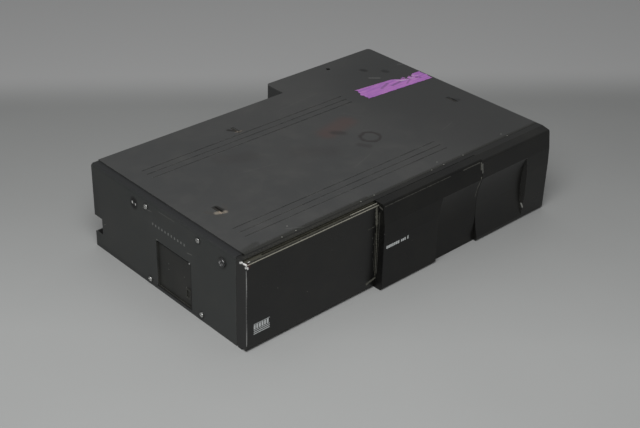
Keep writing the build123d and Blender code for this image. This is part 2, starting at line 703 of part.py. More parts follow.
with BuildPart() as eject_stem_guide:
    guide_y = (stem_end - 14, stem_end - 11)
    bar((button_x - 6, button_x + 6), guide_y, (guide_top + sheet, stem_z[1] + 1.6))
    bar((button_x - 3.2, button_x + 3.2), (guide_y[0] - 1, guide_y[1] + 1), (stem_z[0] - 0.2, stem_z[1] + 0.2),
        mode=Mode.SUBTRACT)

# ---------------------------------------------------------------- lift: posts, screw, gears and motor

front_post_y = panel_y + 8.2
rear_post_y = panel_y + 152.0
post_reach = 56.0
post_places = [
    (deck_x - post_reach, front_post_y), (deck_x + post_reach, front_post_y), (deck_x - post_reach, rear_post_y)
]
screw_place = (deck_x + post_reach, rear_post_y)
gear_radius = gear_module * gear_teeth / 2
pinion_radius = gear_module * pinion_teeth / 2
pinion_place = (screw_place[0], screw_place[1] + gear_radius + pinion_radius)
frame_sheet = 1.0
frame_margin = 8.0            # plate of the top frame around its posts
frame_front_margin = 4.8
motor_seat = 14.0             # and around its motor
gear_z = frame_top + frame_sheet + 0.6

with BuildPart() as lift_posts:
    for place in post_places:
        rod_z(place[0], place[1], (mech_top, frame_top), post_radius)

with BuildPart() as lift_top_frame:
    with BuildSketch(Plane.XY.offset(frame_top)):
        outline([
            (deck_x - post_reach - frame_margin, front_post_y - frame_front_margin, 0),
            (deck_x + post_reach + frame_margin, front_post_y - frame_front_margin, 0),
            (screw_place[0] + motor_seat, pinion_place[1] + motor_seat, 0),
            (screw_place[0] - motor_seat, pinion_place[1] + motor_seat, 0),
            (screw_place[0] - motor_seat - 6, rear_post_y + frame_margin, 0),
            (deck_x - post_reach - frame_margin, rear_post_y + frame_margin, 0),
        ])
        with Locations((deck_x, (front_post_y + rear_post_y) / 2)):
            Rectangle(2 * (post_reach - frame_margin), rear_post_y - front_post_y - 2 * frame_margin,
                      mode=Mode.SUBTRACT)
        with Locations(screw_place):
            RegularPolygon((screw_radius + 0.35) / sides_share, screw_sides, mode=Mode.SUBTRACT)
        with Locations(pinion_place):
            RegularPolygon(1.6, screw_sides, mode=Mode.SUBTRACT)
    extrude(amount=frame_sheet)

with BuildPart() as frame_screws:
    for place in post_places:
        prism_z(place[0], place[1], (frame_top + frame_sheet, frame_top + frame_sheet + 1.6), 2.6, 6)

with BuildPart() as lift_screw:
    rod_z(screw_place[0], screw_place[1], (mech_top + seat_play, gear_z), screw_radius)
    rod_z(screw_place[0], screw_place[1], (gear_z, gear_z + gear_thickness + 0.6), screw_radius - 1)


def gear_face(teeth, phase):
    """Toothed outline: four points to each tooth, with backlash cut from the flanks."""
    pitch_radius = gear_module * teeth / 2
    step = 2 * pi / teeth
    corners = []
    for tooth in range(teeth):
        middle = radians(phase) + tooth * step
        for radius, half in (
            (pitch_radius - 1.2 * gear_module, 0.36 * step),
            (pitch_radius + 0.9 * gear_module, 0.10 * step),
            (pitch_radius + 0.9 * gear_module, -0.10 * step),
            (pitch_radius - 1.2 * gear_module, -0.36 * step),
        ):
            corners.append((radius * cos(middle - half), radius * sin(middle - half)))
    with BuildLine() as line:
        Polyline(*corners, close=True)
    make_face(line.edges())


with BuildPart() as lift_gear:
    with BuildSketch(Plane(origin=(*screw_place, gear_z))):
        gear_face(gear_teeth, 0)
        Circle(screw_radius - 1, mode=Mode.SUBTRACT)
        with PolarLocations(gear_radius * 0.58, 5):
            RegularPolygon(3.2, 6, mode=Mode.SUBTRACT)
    extrude(amount=gear_thickness)

motor_radius = 10.0
motor_length = 26.0
with BuildPart() as motor_pinion:
    with BuildSketch(Plane(origin=(*pinion_place, gear_z))):
        gear_face(pinion_teeth, 180 / pinion_teeth)
    extrude(amount=gear_thickness)
    rod_z(*pinion_place, (frame_top - seat_play, gear_z), 1.2)

with BuildPart() as lift_motor:
    motor_z = (frame_top - motor_length, frame_top)
    rod_z(*pinion_place, motor_z, motor_radius)
    bar((pinion_place[0] - motor_radius - 1, pinion_place[0] - motor_radius + 2),
        (pinion_place[1] - motor_radius, pinion_place[1] + motor_radius), motor_z, mode=Mode.SUBTRACT)
    bar((pinion_place[0] + motor_radius - 2, pinion_place[0] + motor_radius + 1),
        (pinion_place[1] - motor_radius, pinion_place[1] + motor_radius), motor_z, mode=Mode.SUBTRACT)
    rod_z(*pinion_place, (frame_top - 0.6, frame_top + 1), 2.0, mode=Mode.SUBTRACT)
    prism_z(*pinion_place, (motor_z[0] - 1.5, motor_z[0]), 3.0, screw_sides)

# ---------------------------------------------------------------- player deck

deck_top = deck_height + mech_sheet
bush_radius = post_radius + running_gap + bush_wall
rail_half = 18.0
rod_radius = 1.5
deck_window_y = (disc_y + lens_start - sled_front - 1.0, disc_y + lens_start + sled_stroke + sled_back + 4.0)
sled_screw_x = deck_x + rail_half + 5.6
pin_y = deck_window_y[1] + 2.0
pin_radius = 1.5
ear_x = (deck_x - 30.0, deck_x + 30.0)
deck_half = post_reach + 6.0
tail_half = ear_x[1] - deck_x + 8.0
bearing_places = post_places + [screw_place]

with BuildPart() as deck_frame:
    with BuildSketch(Plane.XY.offset(deck_height)):
        outline([
            (deck_x - deck_half, front_post_y + 6, 0), (deck_x + deck_half, front_post_y + 6, 0),
            (deck_x + deck_half, rear_post_y - 4, 0), (deck_x + tail_half, pin_y + 6, 0),
            (deck_x + tail_half, pin_y + 14, 0), (deck_x - tail_half, pin_y + 14, 0),
            (deck_x - tail_half, pin_y + 6, 0), (deck_x - deck_half, rear_post_y - 4, 0),
        ])
        for place in bearing_places:
            with Locations(place):
                RegularPolygon(bush_radius + 1.6, screw_sides)
        with Locations((deck_x, (deck_window_y[0] + deck_window_y[1]) / 2)):
            Rectangle(2 * rail_half + 8, deck_window_y[1] - deck_window_y[0], mode=Mode.SUBTRACT)
        for place in bearing_places:
            with Locations(place):
                RegularPolygon(bush_radius, screw_sides, mode=Mode.SUBTRACT)
    extrude(amount=mech_sheet)
    # ears for the clamp arm's pin
    for ear in ear_x:
        bar((ear - mech_sheet / 2, ear + mech_sheet / 2), (pin_y - 4, pin_y + 4), (deck_height, pin_height + ear_rise))
    prism_x((ear_x[0] - 1, ear_x[1] + 1), pin_y, pin_height, pin_radius / sides_share, screw_sides,
            mode=Mode.SUBTRACT)
    # saddles that hold the ends of the sled's rods
    for saddle_y in (deck_window_y[0] - 3, deck_window_y[1]):
        for rail_x in (deck_x - rail_half, deck_x + rail_half):
            bar((rail_x - 2.4, rail_x + 2.4), (saddle_y, saddle_y + 3), (deck_top, deck_top + 5.4))
    for rail_x in (deck_x - rail_half, deck_x + rail_half):
        prism_y(rail_x, (deck_window_y[0] - 1.5, deck_window_y[1] + 1.5), deck_top + 3.2,
                rod_radius / sides_share, screw_sides, mode=Mode.SUBTRACT)

with BuildPart() as deck_bushes:
    for place in post_places:
        with BuildSketch(Plane.XY.offset(deck_height)):
            with Locations(place):
                RegularPolygon(bush_radius, screw_sides)
                Circle(post_radius + running_gap, mode=Mode.SUBTRACT)
        extrude(amount=bush_height)

with BuildPart() as lift_nut:
    with BuildSketch(Plane.XY.offset(deck_height)):
        with Locations(screw_place):
            RegularPolygon(bush_radius, screw_sides)
            Circle(screw_radius + running_gap, mode=Mode.SUBTRACT)
    extrude(amount=bush_height + 2)

turntable_seat = tray_start + tray_thickness - disc_thickness - 0.2 - 0.4
with BuildPart() as spindle_motor:
    spindle_top = turntable_seat - 2.6
    rod_z(deck_x, disc_y, (deck_top, spindle_top), 12.0)
    chamfer(spindle_motor.edges().filter_by(GeomType.CIRCLE).sort_by(Axis.Z)[-1], 1.2)
    rod_z(deck_x, disc_y, (spindle_top - 1.0, spindle_top + 1), 2.4, mode=Mode.SUBTRACT)

with BuildPart() as turntable:
    with BuildSketch(Plane(origin=(deck_x, disc_y, 0), x_dir=(1, 0, 0), z_dir=(0, -1, 0))):
        outline([
            (0, spindle_top - 0.7, 0), (2.0, spindle_top - 0.7, 0), (2.0, spindle_top + 0.6, 0),
            (15.0, spindle_top + 0.6, 0), (15.0, turntable_seat, 0), (7.4, turntable_seat, 0),
            (7.2, turntable_seat + 1.2, 0), (4.0, turntable_seat + 2.8, 0), (0, turntable_seat + 2.8, 0),
        ])
    revolve(axis=Axis((deck_x, disc_y, 0), (0, 0, 1)))

rail_z = deck_top + 3.2
lens_y = disc_y + lens_start
lens_radius = 4.6
sled_screw_radius = 1.4
with BuildPart() as sled_rods:
    for rail_x in (deck_x - rail_half, deck_x + rail_half):
        rod_y(rail_x, (deck_window_y[0] - 1.5, deck_window_y[1] + 1.5), rail_z, rod_radius)

with BuildPart() as pickup_sled:
    sled_y = (lens_y - sled_front, lens_y + sled_back)
    bar((deck_x - rail_half - 3.2, deck_x + rail_half + 3.2), sled_y, (rail_z - 3.0, rail_z + 3.0))
    chamfer(pickup_sled.edges().filter_by(Axis.Z), 2.0)
    bar((deck_x - 9, deck_x + 9), (lens_y - 7, lens_y + 7), (rail_z, rail_z + 4.2))
    prism_z(deck_x, lens_y, (rail_z + 2.0, rail_z + 5), lens_radius / sides_share, screw_sides, mode=Mode.SUBTRACT)
    for rail_x in (deck_x - rail_half, deck_x + rail_half):
        prism_y(rail_x, (sled_y[0] - 1, sled_y[1] + 1), rail_z, (rod_radius + running_gap) / sides_share,
                screw_sides, mode=Mode.SUBTRACT)
    # finger that rides in the sled screw
    bar((deck_x + rail_half + 3, sled_screw_x + 3.4), (lens_y - 3, lens_y + 3), (rail_z - 2.2, rail_z + 3.0))
    prism_y(sled_screw_x, (lens_y - 4, lens_y + 4), rail_z, (sled_screw_radius + running_gap) / sides_share,
            screw_sides, mode=Mode.SUBTRACT)

with BuildPart() as objective_lens:
    with BuildSketch(Plane(origin=(deck_x, lens_y, 0), x_dir=(1, 0, 0), z_dir=(0, -1, 0))):
        outline([
            (0, rail_z + 2.0, 0), (lens_radius, rail_z + 2.0, 0), (lens_radius, rail_z + 3.6, 0),
            (3.2, rail_z + 3.6, 0),
            (2.2, rail_z + 4.6, 0), (0, rail_z + 4.8, 0),
        ])
    revolve(axis=Axis((deck_x, lens_y, 0), (0, 0, 1)))

sled_motor_y = deck_window_y[1] + 5.0
with BuildPart() as sled_screw:
    rod_y(sled_screw_x, (deck_window_y[0] - 2.0, sled_motor_y - seat_play), rail_z, sled_screw_radius)

with BuildPart() as sled_motor:
    rod_y(sled_screw_x, (sled_motor_y, sled_motor_y + 11.0), rail_z + 1.4, 4.6)
    bar((sled_screw_x - 5, sled_screw_x + 5), (sled_motor_y, sled_motor_y + 11.0), (deck_top, deck_top + 1.0))

with BuildPart() as sled_screw_bearing:
    bar((sled_screw_x - 3, sled_screw_x + 3), (deck_window_y[0] - 3, deck_window_y[0]), (deck_top, deck_top + 6))
    prism_y(sled_screw_x, (deck_window_y[0] - 2.3, deck_window_y[0] + 1), rail_z,
            (sled_screw_radius + running_gap) / sides_share, screw_sides, mode=Mode.SUBTRACT)

arm_tip_y = disc_y - 12.0
clamper_neck = 4.6
with BuildPart() as clamp_arm:
    arm_z = pin_height + 1.6
    with BuildSketch(Plane.XY.offset(arm_z)):
        outline([
            (ear_x[0] + 1.2, pin_y + 3, 0), (ear_x[0] + 1.2, pin_y - 14, 0), (deck_x - 14, disc_y + 8, 0),
            (deck_x - 14, arm_tip_y, 10), (deck_x + 14, arm_tip_y, 10), (deck_x + 14, disc_y + 8, 0),
            (ear_x[1] - 1.2, pin_y - 14, 0), (ear_x[1] - 1.2, pin_y + 3, 0),
        ])
        with Locations((deck_x, disc_y)):
            RegularPolygon((clamper_neck + 0.4) / sides_share, screw_sides, mode=Mode.SUBTRACT)
        with Locations((deck_x, disc_y + 42)):
            Rectangle(12, 36, mode=Mode.SUBTRACT)
    extrude(amount=mech_sheet)
    for flange_x in ((ear_x[0] + 1.2, ear_x[0] + 1.2 + sheet), (ear_x[1] - 1.2 - sheet, ear_x[1] - 1.2)):
        bar(flange_x, (pin_y - 14, pin_y + 3), (pin_height - 3, arm_z))
    rod_x((ear_x[0], ear_x[1]), pin_y, pin_height, pin_radius + running_gap, mode=Mode.SUBTRACT)

with BuildPart() as clamp_pin:
    rod_x((ear_x[0] - 1.5, ear_x[1] + 1.5), pin_y, pin_height, pin_radius)

with BuildPart() as clamper:
    clamper_foot = turntable_seat + 3.2
    with BuildSketch(Plane(origin=(deck_x, disc_y, 0), x_dir=(1, 0, 0), z_dir=(0, -1, 0))):
        outline([
            (0, clamper_foot, 0), (11.0, clamper_foot, 0), (11.0, clamper_foot + 2.2, 0),
            (clamper_neck, clamper_foot + 2.2, 0), (clamper_neck, arm_z + mech_sheet + 0.4, 0),
            (7.0, arm_z + mech_sheet + 0.4, 0),
            (7.0, arm_z + mech_sheet + 1.4, 0), (0, arm_z + mech_sheet + 1.4, 0),
        ])
    revolve(axis=Axis((deck_x, disc_y, 0), (0, 0, 1)))

# ---------------------------------------------------------------- electronics

board_x = (mech_right + 8.0, right_x - 6.0)
board_y = (band_back + 6.0, rear_y - 14.0)
board_z = (13.0, 14.6)
standoff_inset = 5.0
standoff_places = [
    (x, y) for x in (board_x[0] + standoff_inset, board_x[1] - standoff_inset)
    for y in (board_y[0] + standoff_inset, board_y[1] - standoff_inset)
]
with BuildPart() as main_board:
    bar(board_x, board_y, board_z)

with BuildPart() as board_standoffs:
    for place in standoff_places:
        prism_z(*place, (sheet, board_z[0]), 3.0, 6)

with BuildPart() as board_screws:
    for place in standoff_places:
        prism_z(*place, (board_z[1], board_z[1] + 1.8), 2.8, 6)

board_mid_x = (board_x[0] + board_x[1]) / 2
with BuildPart() as board_chips:
    for chip_x, chip_y, chip_w, chip_d, chip_h in (
        (-18, 40, 20, 20, 2.6), (16, 44, 14, 20, 2.6), (-14, 78, 24, 10, 3.2), (18, 84, 10, 16, 2.6),
        (-20, 112, 16, 16, 2.4),
    ):
        x, y = board_mid_x + chip_x, board_y[0] + chip_y
        bar((x - chip_w / 2, x + chip_w / 2), (y - chip_d / 2, y + chip_d / 2), (board_z[1], board_z[1] + chip_h))

with BuildPart() as board_capacitors:
    for cap_x, cap_back, cap_r, cap_h in ((20, 50, 8, 25), (20, 30, 6.3, 20), (-22, 26, 5, 12), (-6, 24, 5, 12)):
        prism_z(board_mid_x + cap_x, board_y[1] - cap_back, (board_z[1], board_z[1] + cap_h), cap_r, screw_sides)

sink_x = (box_x + 40.0, right_x - 20.0)
sink_y = (box_y - sheet - 16.0, box_y - sheet - 3.0)
sink_z = (sheet, 58.0)
fin_pitch = 7.0
with BuildPart() as heat_sink:
    bar(sink_x, (sink_y[0], sink_y[0] + 3), sink_z)
    fin_count = int((sink_x[1] - sink_x[0] - 2) / fin_pitch)
    for fin in range(fin_count + 1):
        fin_x = sink_x[0] + fin * fin_pitch
        bar((fin_x, fin_x + 1.6), (sink_y[0] + 2.9, sink_y[1]), sink_z)

with BuildPart() as power_transistors:
    for shift in (-30, 0, 30):
        x = (sink_x[0] + sink_x[1]) / 2 + shift
        bar((x - 5, x + 5), (sink_y[0] - 4.4, sink_y[0]), (24, 40))

with BuildPart() as din_socket:
    rod_y(socket_x, (box_y - 14.0, box_y - sheet), socket_height, socket_collar + 1.6)
    rod_y(socket_x, (box_y - sheet, box_y), socket_height, socket_collar)
    rod_y(socket_x, (box_y - 8.0, box_y + 1), socket_height, socket_collar - 0.6, mode=Mode.SUBTRACT)
    with BuildSketch(Plane(origin=(socket_x, box_y - 10.0, socket_height), x_dir=(1, 0, 0), z_dir=(0, -1, 0))):
        with PolarLocations(4.0, 8):
            RegularPolygon(0.7, 6)
    extrude(amount=-7.0)

for piece, name in (
    (bottom_chassis, "bottom_chassis"), (top_cover, "top_cover"), (left_side_plate, "left_side_plate"),
    (right_side_plate, "right_side_plate"), (front_fascia, "front_fascia"), (sliding_door, "sliding_door"),
    (side_bay_cover, "side_bay_cover"), (side_screws, "side_screws"), (bracket_nuts, "bracket_nuts"),
    (bracket_bolts, "bracket_bolts"), (notch_screw, "notch_screw"), (cover_screws, "cover_screws"),
    (mech_chassis, "mech_chassis"), (mech_dampers, "mech_dampers"), (magazine_guide, "magazine_guide"),
    (magazine_shell, "magazine_shell"), (disc_trays, "disc_trays"), (discs, "discs"),
    (eject_button, "eject_button"), (eject_switch, "eject_switch"), (eject_stem_guide, "eject_stem_guide"),
    (lift_posts, "lift_posts"), (lift_top_frame, "lift_top_frame"), (frame_screws, "frame_screws"),
    (lift_screw, "lift_screw"), (lift_gear, "lift_gear"), (motor_pinion, "motor_pinion"),
    (lift_motor, "lift_motor"), (deck_frame, "deck_frame"), (deck_bushes, "deck_bushes"),
    (lift_nut, "lift_nut"), (spindle_motor, "spindle_motor"), (turntable, "turntable"),
    (sled_rods, "sled_rods"), (pickup_sled, "pickup_sled"), (objective_lens, "objective_lens"),
    (sled_screw, "sled_screw"), (sled_motor, "sled_motor"), (sled_screw_bearing, "sled_screw_bearing"),
    (clamp_arm, "clamp_arm"), (clamp_pin, "clamp_pin"), (clamper, "clamper"), (main_board, "main_board"),
    (board_standoffs, "board_standoffs"), (board_screws, "board_screws"), (board_chips, "board_chips"),
    (board_capacitors, "board_capacitors"), (heat_sink, "heat_sink"),
    (power_transistors, "power_transistors"), (din_socket, "din_socket"),
):
    save(piece, name)
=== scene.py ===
import bmesh
import bpy
import numpy as np
from math import cos, pi, sin
from mathutils import Matrix, Vector


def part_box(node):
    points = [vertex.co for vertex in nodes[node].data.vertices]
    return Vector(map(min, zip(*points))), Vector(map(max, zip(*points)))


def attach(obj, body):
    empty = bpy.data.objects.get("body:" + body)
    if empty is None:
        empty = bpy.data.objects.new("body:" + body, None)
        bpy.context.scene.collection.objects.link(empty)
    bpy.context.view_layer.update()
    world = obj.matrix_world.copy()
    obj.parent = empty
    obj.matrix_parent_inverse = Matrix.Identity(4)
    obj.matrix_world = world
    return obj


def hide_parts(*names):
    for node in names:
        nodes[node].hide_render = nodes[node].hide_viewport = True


# Car disc changer, dressed. Places on the case are millimetres from its left side, back from the foot
# of the left front panel, and up from the ground.

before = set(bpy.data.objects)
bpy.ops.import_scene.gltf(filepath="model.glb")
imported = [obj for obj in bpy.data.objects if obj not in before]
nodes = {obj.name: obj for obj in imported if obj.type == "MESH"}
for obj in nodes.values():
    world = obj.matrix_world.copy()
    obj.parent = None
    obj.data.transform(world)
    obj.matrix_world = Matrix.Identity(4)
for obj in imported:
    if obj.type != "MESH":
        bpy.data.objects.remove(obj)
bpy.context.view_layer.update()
print("frame loaded:", len(nodes), "CAD nodes")

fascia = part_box("front_fascia")
caseLeft = fascia[0].x
caseRight = fascia[1].x
panelFoot = fascia[0].y + 0.0091     # the door and the right panel stand this far ahead of the left one
caseTop = fascia[1].z
coverHeight = 90.0                   # millimetres up, where the marks on the cover lie
faceBehindWindow = 2.0               # millimetres inside the left side, where the bay cover's face lies
fastenerPlaces = {                   # back and up on a side
    "screws": [(60.1, 6.8), (135.8, 5.9), (62.8, 82.0), (137.6, 81.5)],
    "bolts": [(30.0, 76.2)],
    "thread": (156.4, 76.1),
}


def place(x, y, z):  # millimetres on the case to metres in the frame
    return (caseLeft + x / 1000, panelFoot + y / 1000, z / 1000)


def addNode(tree, kind, inputs=None, **settings):  # an input is linked where its value is a socket, else set
    node = tree.nodes.new(kind)
    for key, value in settings.items():
        setattr(node, key, value)
    for key, value in (inputs or {}).items():
        socket = node.inputs[key]
        if isinstance(value, bpy.types.NodeSocket):
            tree.links.new(value, socket)
        else:
            socket.default_value = value
    return node


def calc(tree, operation, *values, clamp=False):
    node = addNode(tree, "ShaderNodeMath", dict(enumerate(values)), operation=operation, use_clamp=clamp)
    return node.outputs[0]


def vecCalc(tree, operation, *values, output="Vector"):
    node = addNode(tree, "ShaderNodeVectorMath", dict(enumerate(values)), operation=operation)
    return node.outputs[output]


def noiseOut(tree, coords, scale, detail=2.0, rough=0.5, output="Fac"):
    inputs = {"Vector": coords, "Scale": scale, "Detail": detail, "Roughness": rough}
    return addNode(tree, "ShaderNodeTexNoise", inputs).outputs[output]


def ramp(tree, value, low, high, toLow=0.0, toHigh=1.0):  # smooth step between two values
    inputs = {"Value": value, "From Min": low, "From Max": high, "To Min": toLow, "To Max": toHigh}
    return addNode(tree, "ShaderNodeMapRange", inputs, interpolation_type="SMOOTHSTEP").outputs[0]


def mixColour(tree, factor, first, second):
    node = addNode(tree, "ShaderNodeMix", {0: factor, 6: first, 7: second}, data_type="RGBA")
    return node.outputs[2]           # inputs 6 and 7 and output 2 are the node's colour sockets


def newGroup(name, inputs, outputs):
    tree = bpy.data.node_groups.new(name, "ShaderNodeTree")
    for label, kind, default in inputs:
        socket = tree.interface.new_socket(name=label, in_out="INPUT", socket_type=kind)
        if default is not None:
            socket.default_value = default
    for label, kind in outputs:
        tree.interface.new_socket(name=label, in_out="OUTPUT", socket_type=kind)
    return tree, tree.nodes.new("NodeGroupInput").outputs, tree.nodes.new("NodeGroupOutput").inputs


def useGroup(tree, group, inputs):
    return addNode(tree, "ShaderNodeGroup", inputs, node_tree=group).outputs


floatKind, vectorKind, colourKind = "NodeSocketFloat", "NodeSocketVector", "NodeSocketColor"


# A ragged line between two places: the distance to the segment, plus noise, is under half the width.
def makeStrokeGroup():
    tree, given, out = newGroup("strokeMark", [
        ("Vector", vectorKind, None), ("From", vectorKind, None), ("To", vectorKind, None),
        ("Width", floatKind, 0.0005), ("Ragged", floatKind, 0.0003), ("Scale", floatKind, 900.0),
    ], [("Mask", floatKind)])
    reach = vecCalc(tree, "SUBTRACT", given["Vector"], given["From"])
    along = vecCalc(tree, "SUBTRACT", given["To"], given["From"])
    length = calc(tree, "ADD", vecCalc(tree, "DOT_PRODUCT", along, along, output="Value"), 1e-10)
    share = calc(tree, "DIVIDE", vecCalc(tree, "DOT_PRODUCT", reach, along, output="Value"), length,
                 clamp=True)
    onLine = addNode(tree, "ShaderNodeVectorMath", {0: along, "Scale": share}, operation="SCALE").outputs[0]
    away = vecCalc(tree, "LENGTH", vecCalc(tree, "SUBTRACT", reach, onLine), output="Value")
    noise = calc(tree, "SUBTRACT", noiseOut(tree, given["Vector"], given["Scale"], 3.0, 0.65), 0.5)
    swing = calc(tree, "MULTIPLY", given["Ragged"], 2.0)
    away = calc(tree, "ADD", away, calc(tree, "MULTIPLY", noise, swing))
    half = calc(tree, "MULTIPLY", given["Width"], 0.5)
    core = calc(tree, "MULTIPLY", half, 0.35)     # full inside this share of the half width
    tree.links.new(ramp(tree, away, core, half, 1.0, 0.0), out["Mask"])
    return tree


# An ellipse drawn on the top: the stretched distance from its centre, plus noise, is close to one.
def makeRingGroup():
    tree, given, out = newGroup("ringMark", [
        ("Vector", vectorKind, None), ("Centre", vectorKind, None), ("Stretch", vectorKind, None),
        ("Width", floatKind, 0.15),
    ], [("Mask", floatKind)])
    reach = vecCalc(tree, "MULTIPLY", vecCalc(tree, "SUBTRACT", given["Vector"], given["Centre"]),
                    given["Stretch"])
    away = calc(tree, "SUBTRACT", vecCalc(tree, "LENGTH", reach, output="Value"), 1.0)
    wobble = calc(tree, "SUBTRACT", noiseOut(tree, given["Vector"], 160.0, 2.0), 0.5)
    away = calc(tree, "ABSOLUTE", calc(tree, "ADD", away, calc(tree, "MULTIPLY", wobble, 0.5)))
    tree.links.new(ramp(tree, away, 0.0, given["Width"], 1.0, 0.0), out["Mask"])
    return tree


# Paint and moulded plastic: slow noise mixes two colours, quicker noise lays dust over them in films and
# specks and roughens it, and fine noise is the height of the grain.
def makeFinishGroup():
    tree, given, out = newGroup("surfaceFinish", [
        ("Vector", vectorKind, None), ("Base", colourKind, None), ("Shade", colourKind, None),
        ("Dust Colour", colourKind, None), ("Dust", floatKind, 0.1), ("Cloud Scale", floatKind, 12.0),
        ("Grain Scale", floatKind, 2200.0), ("Grain", floatKind, 0.5), ("Roughness", floatKind, 0.4),
        ("Rough Spread", floatKind, 0.08),
    ], [("Color", colourKind), ("Roughness", floatKind), ("Height", floatKind)])
    cloud = noiseOut(tree, given["Vector"], given["Cloud Scale"], 4.0, 0.55)
    body = mixColour(tree, ramp(tree, cloud, 0.32, 0.68), given["Base"], given["Shade"])
    speck = noiseOut(tree, given["Vector"], 1400.0, 3.0, 0.7)
    film = noiseOut(tree, given["Vector"], 46.0, 5.0, 0.62)
    dust = calc(tree, "MULTIPLY", ramp(tree, film, 0.42, 0.78), given["Dust"])
    specks = calc(tree, "MULTIPLY", ramp(tree, speck, 0.70, 0.80),
                  calc(tree, "MULTIPLY", given["Dust"], 0.8))
    dust = calc(tree, "MAXIMUM", dust, specks)
    tree.links.new(mixColour(tree, dust, body, given["Dust Colour"]), out["Color"])
    swing = calc(tree, "MULTIPLY", given["Rough Spread"], 2.0)
    spread = calc(tree, "MULTIPLY", calc(tree, "SUBTRACT", film, 0.5), swing)
    lift = calc(tree, "ADD", spread, calc(tree, "MULTIPLY", dust, 0.4))
    tree.links.new(calc(tree, "ADD", given["Roughness"], lift, clamp=True), out["Roughness"])
    grain = noiseOut(tree, given["Vector"], given["Grain Scale"], 2.0, 0.5)
    tree.links.new(calc(tree, "MULTIPLY", grain, given["Grain"]), out["Height"])
    return tree


# Rubbed edges: where a rounded normal leaves the face's own, noise over a threshold lets the wear through.
def makeEdgeGroup():
    tree, given, out = newGroup("edgeWear", [
        ("Vector", vectorKind, None), ("Radius", floatKind, 0.0006), ("Patch Scale", floatKind, 60.0),
        ("Amount", floatKind, 0.5),
    ], [("Mask", floatKind)])
    rounded = addNode(tree, "ShaderNodeBevel", {"Radius": given["Radius"]}, samples=4).outputs[0]
    facing = addNode(tree, "ShaderNodeNewGeometry").outputs["True Normal"]
    turn = vecCalc(tree, "DOT_PRODUCT", rounded, facing, output="Value")
    edge = ramp(tree, turn, 0.995, 0.93)
    patches = noiseOut(tree, given["Vector"], given["Patch Scale"], 6.0, 0.7)
    cut = calc(tree, "MULTIPLY", calc(tree, "SUBTRACT", 1.0, given["Amount"]), 0.75)
    rubbed = calc(tree, "MULTIPLY", calc(tree, "SUBTRACT", patches, cut), 6.0, clamp=True)
    tree.links.new(calc(tree, "MULTIPLY", edge, rubbed), out["Mask"])
    return tree


strokeGroup = makeStrokeGroup()
ringGroup = makeRingGroup()
finishGroup = makeFinishGroup()
edgeGroup = makeEdgeGroup()


def newMaterial(name):
    material = bpy.data.materials.new(name)
    material.use_nodes = True
    tree = material.node_tree
    shader = tree.nodes["Principled BSDF"]
    return material, tree, shader, tree.nodes.new("ShaderNodeTexCoord").outputs["Object"]


def strokes(tree, coords, marks):  # a mark: from, to, width and raggedness in millimetres, strength
    total = None
    for start, end, width, ragged, strength in marks:
        inputs = {"Vector": coords, "From": place(*start), "To": place(*end), "Width": width / 1000,
                  "Ragged": ragged / 1000}
        mask = calc(tree, "MULTIPLY", useGroup(tree, strokeGroup, inputs)["Mask"], strength)
        total = mask if total is None else calc(tree, "MAXIMUM", total, mask)
    return total


def dots(spots, width, strength, ragged=0.25):  # round specks, as strokes without a length
    return [(spot, spot, width, ragged * width, strength) for spot in spots]


def onCover(marks):  # strokes given as across and back, laid on the cover's top
    return [((*start, coverHeight), (*end, coverHeight), *rest) for start, end, *rest in marks]


def onBay(marks):  # strokes given as back and up, laid on the bay cover's face
    return [((faceBehindWindow, *start), (faceBehindWindow, *end), *rest) for start, end, *rest in marks]


# Principled surface on the finish group, with marks laid over it in order.
def finish(name, look, marks=(), edge=None):
    material, tree, shader, coords = newMaterial(name)
    inputs = {"Vector": coords, "Base": (*look["colour"], 1),
              "Shade": (*look.get("shade", look["colour"]), 1),
              "Dust Colour": (*look.get("dustColour", (0.3, 0.3, 0.29)), 1), "Dust": look.get("dust", 0.0),
              "Cloud Scale": look.get("cloudScale", 12.0), "Grain Scale": look.get("grainScale", 2200.0),
              "Grain": look.get("grain", 0.5), "Roughness": look["roughness"],
              "Rough Spread": look.get("roughSpread", 0.06)}
    made = useGroup(tree, finishGroup, inputs)
    colour, rough, height = made["Color"], made["Roughness"], made["Height"]
    if edge:
        given = {"Vector": coords, "Radius": edge["radius"], "Amount": edge["amount"]}
        mask = calc(tree, "MULTIPLY", useGroup(tree, edgeGroup, given)["Mask"], edge["strength"])
        colour = mixColour(tree, mask, colour, (*edge["colour"], 1))
    for mark in marks:
        if "ring" in mark:
            given = {"Vector": coords, "Centre": place(*mark["ring"]), "Stretch": mark["stretch"],
                     "Width": mark["width"]}
            mask = calc(tree, "MULTIPLY", useGroup(tree, ringGroup, given)["Mask"], mark["strength"])
        else:
            mask = strokes(tree, coords, mark["strokes"])
        if "rough" in mark:
            lift = calc(tree, "MULTIPLY", mask, mark["rough"] - look["roughness"])
            rough = calc(tree, "ADD", rough, lift, clamp=True)
        if "colour" in mark:
            colour = mixColour(tree, mask, colour, (*mark["colour"], 1))
        if "depth" in mark:
            height = calc(tree, "ADD", height, calc(tree, "MULTIPLY", mask, mark["depth"]))
    tree.links.new(colour, shader.inputs["Base Color"])
    tree.links.new(rough, shader.inputs["Roughness"])
    bump = addNode(tree, "ShaderNodeBump", {"Height": height, "Strength": look.get("bump", 0.15),
                                            "Distance": 0.0003})
    tree.links.new(bump.outputs[0], shader.inputs["Normal"])
    shader.inputs["Metallic"].default_value = look.get("metallic", 0.0)
    shader.inputs["IOR"].default_value = look.get("ior", 1.45)
    return material


def dress(material, *names):
    for name in names:
        mesh = nodes[name].data
        mesh.materials.clear()
        mesh.materials.append(material)


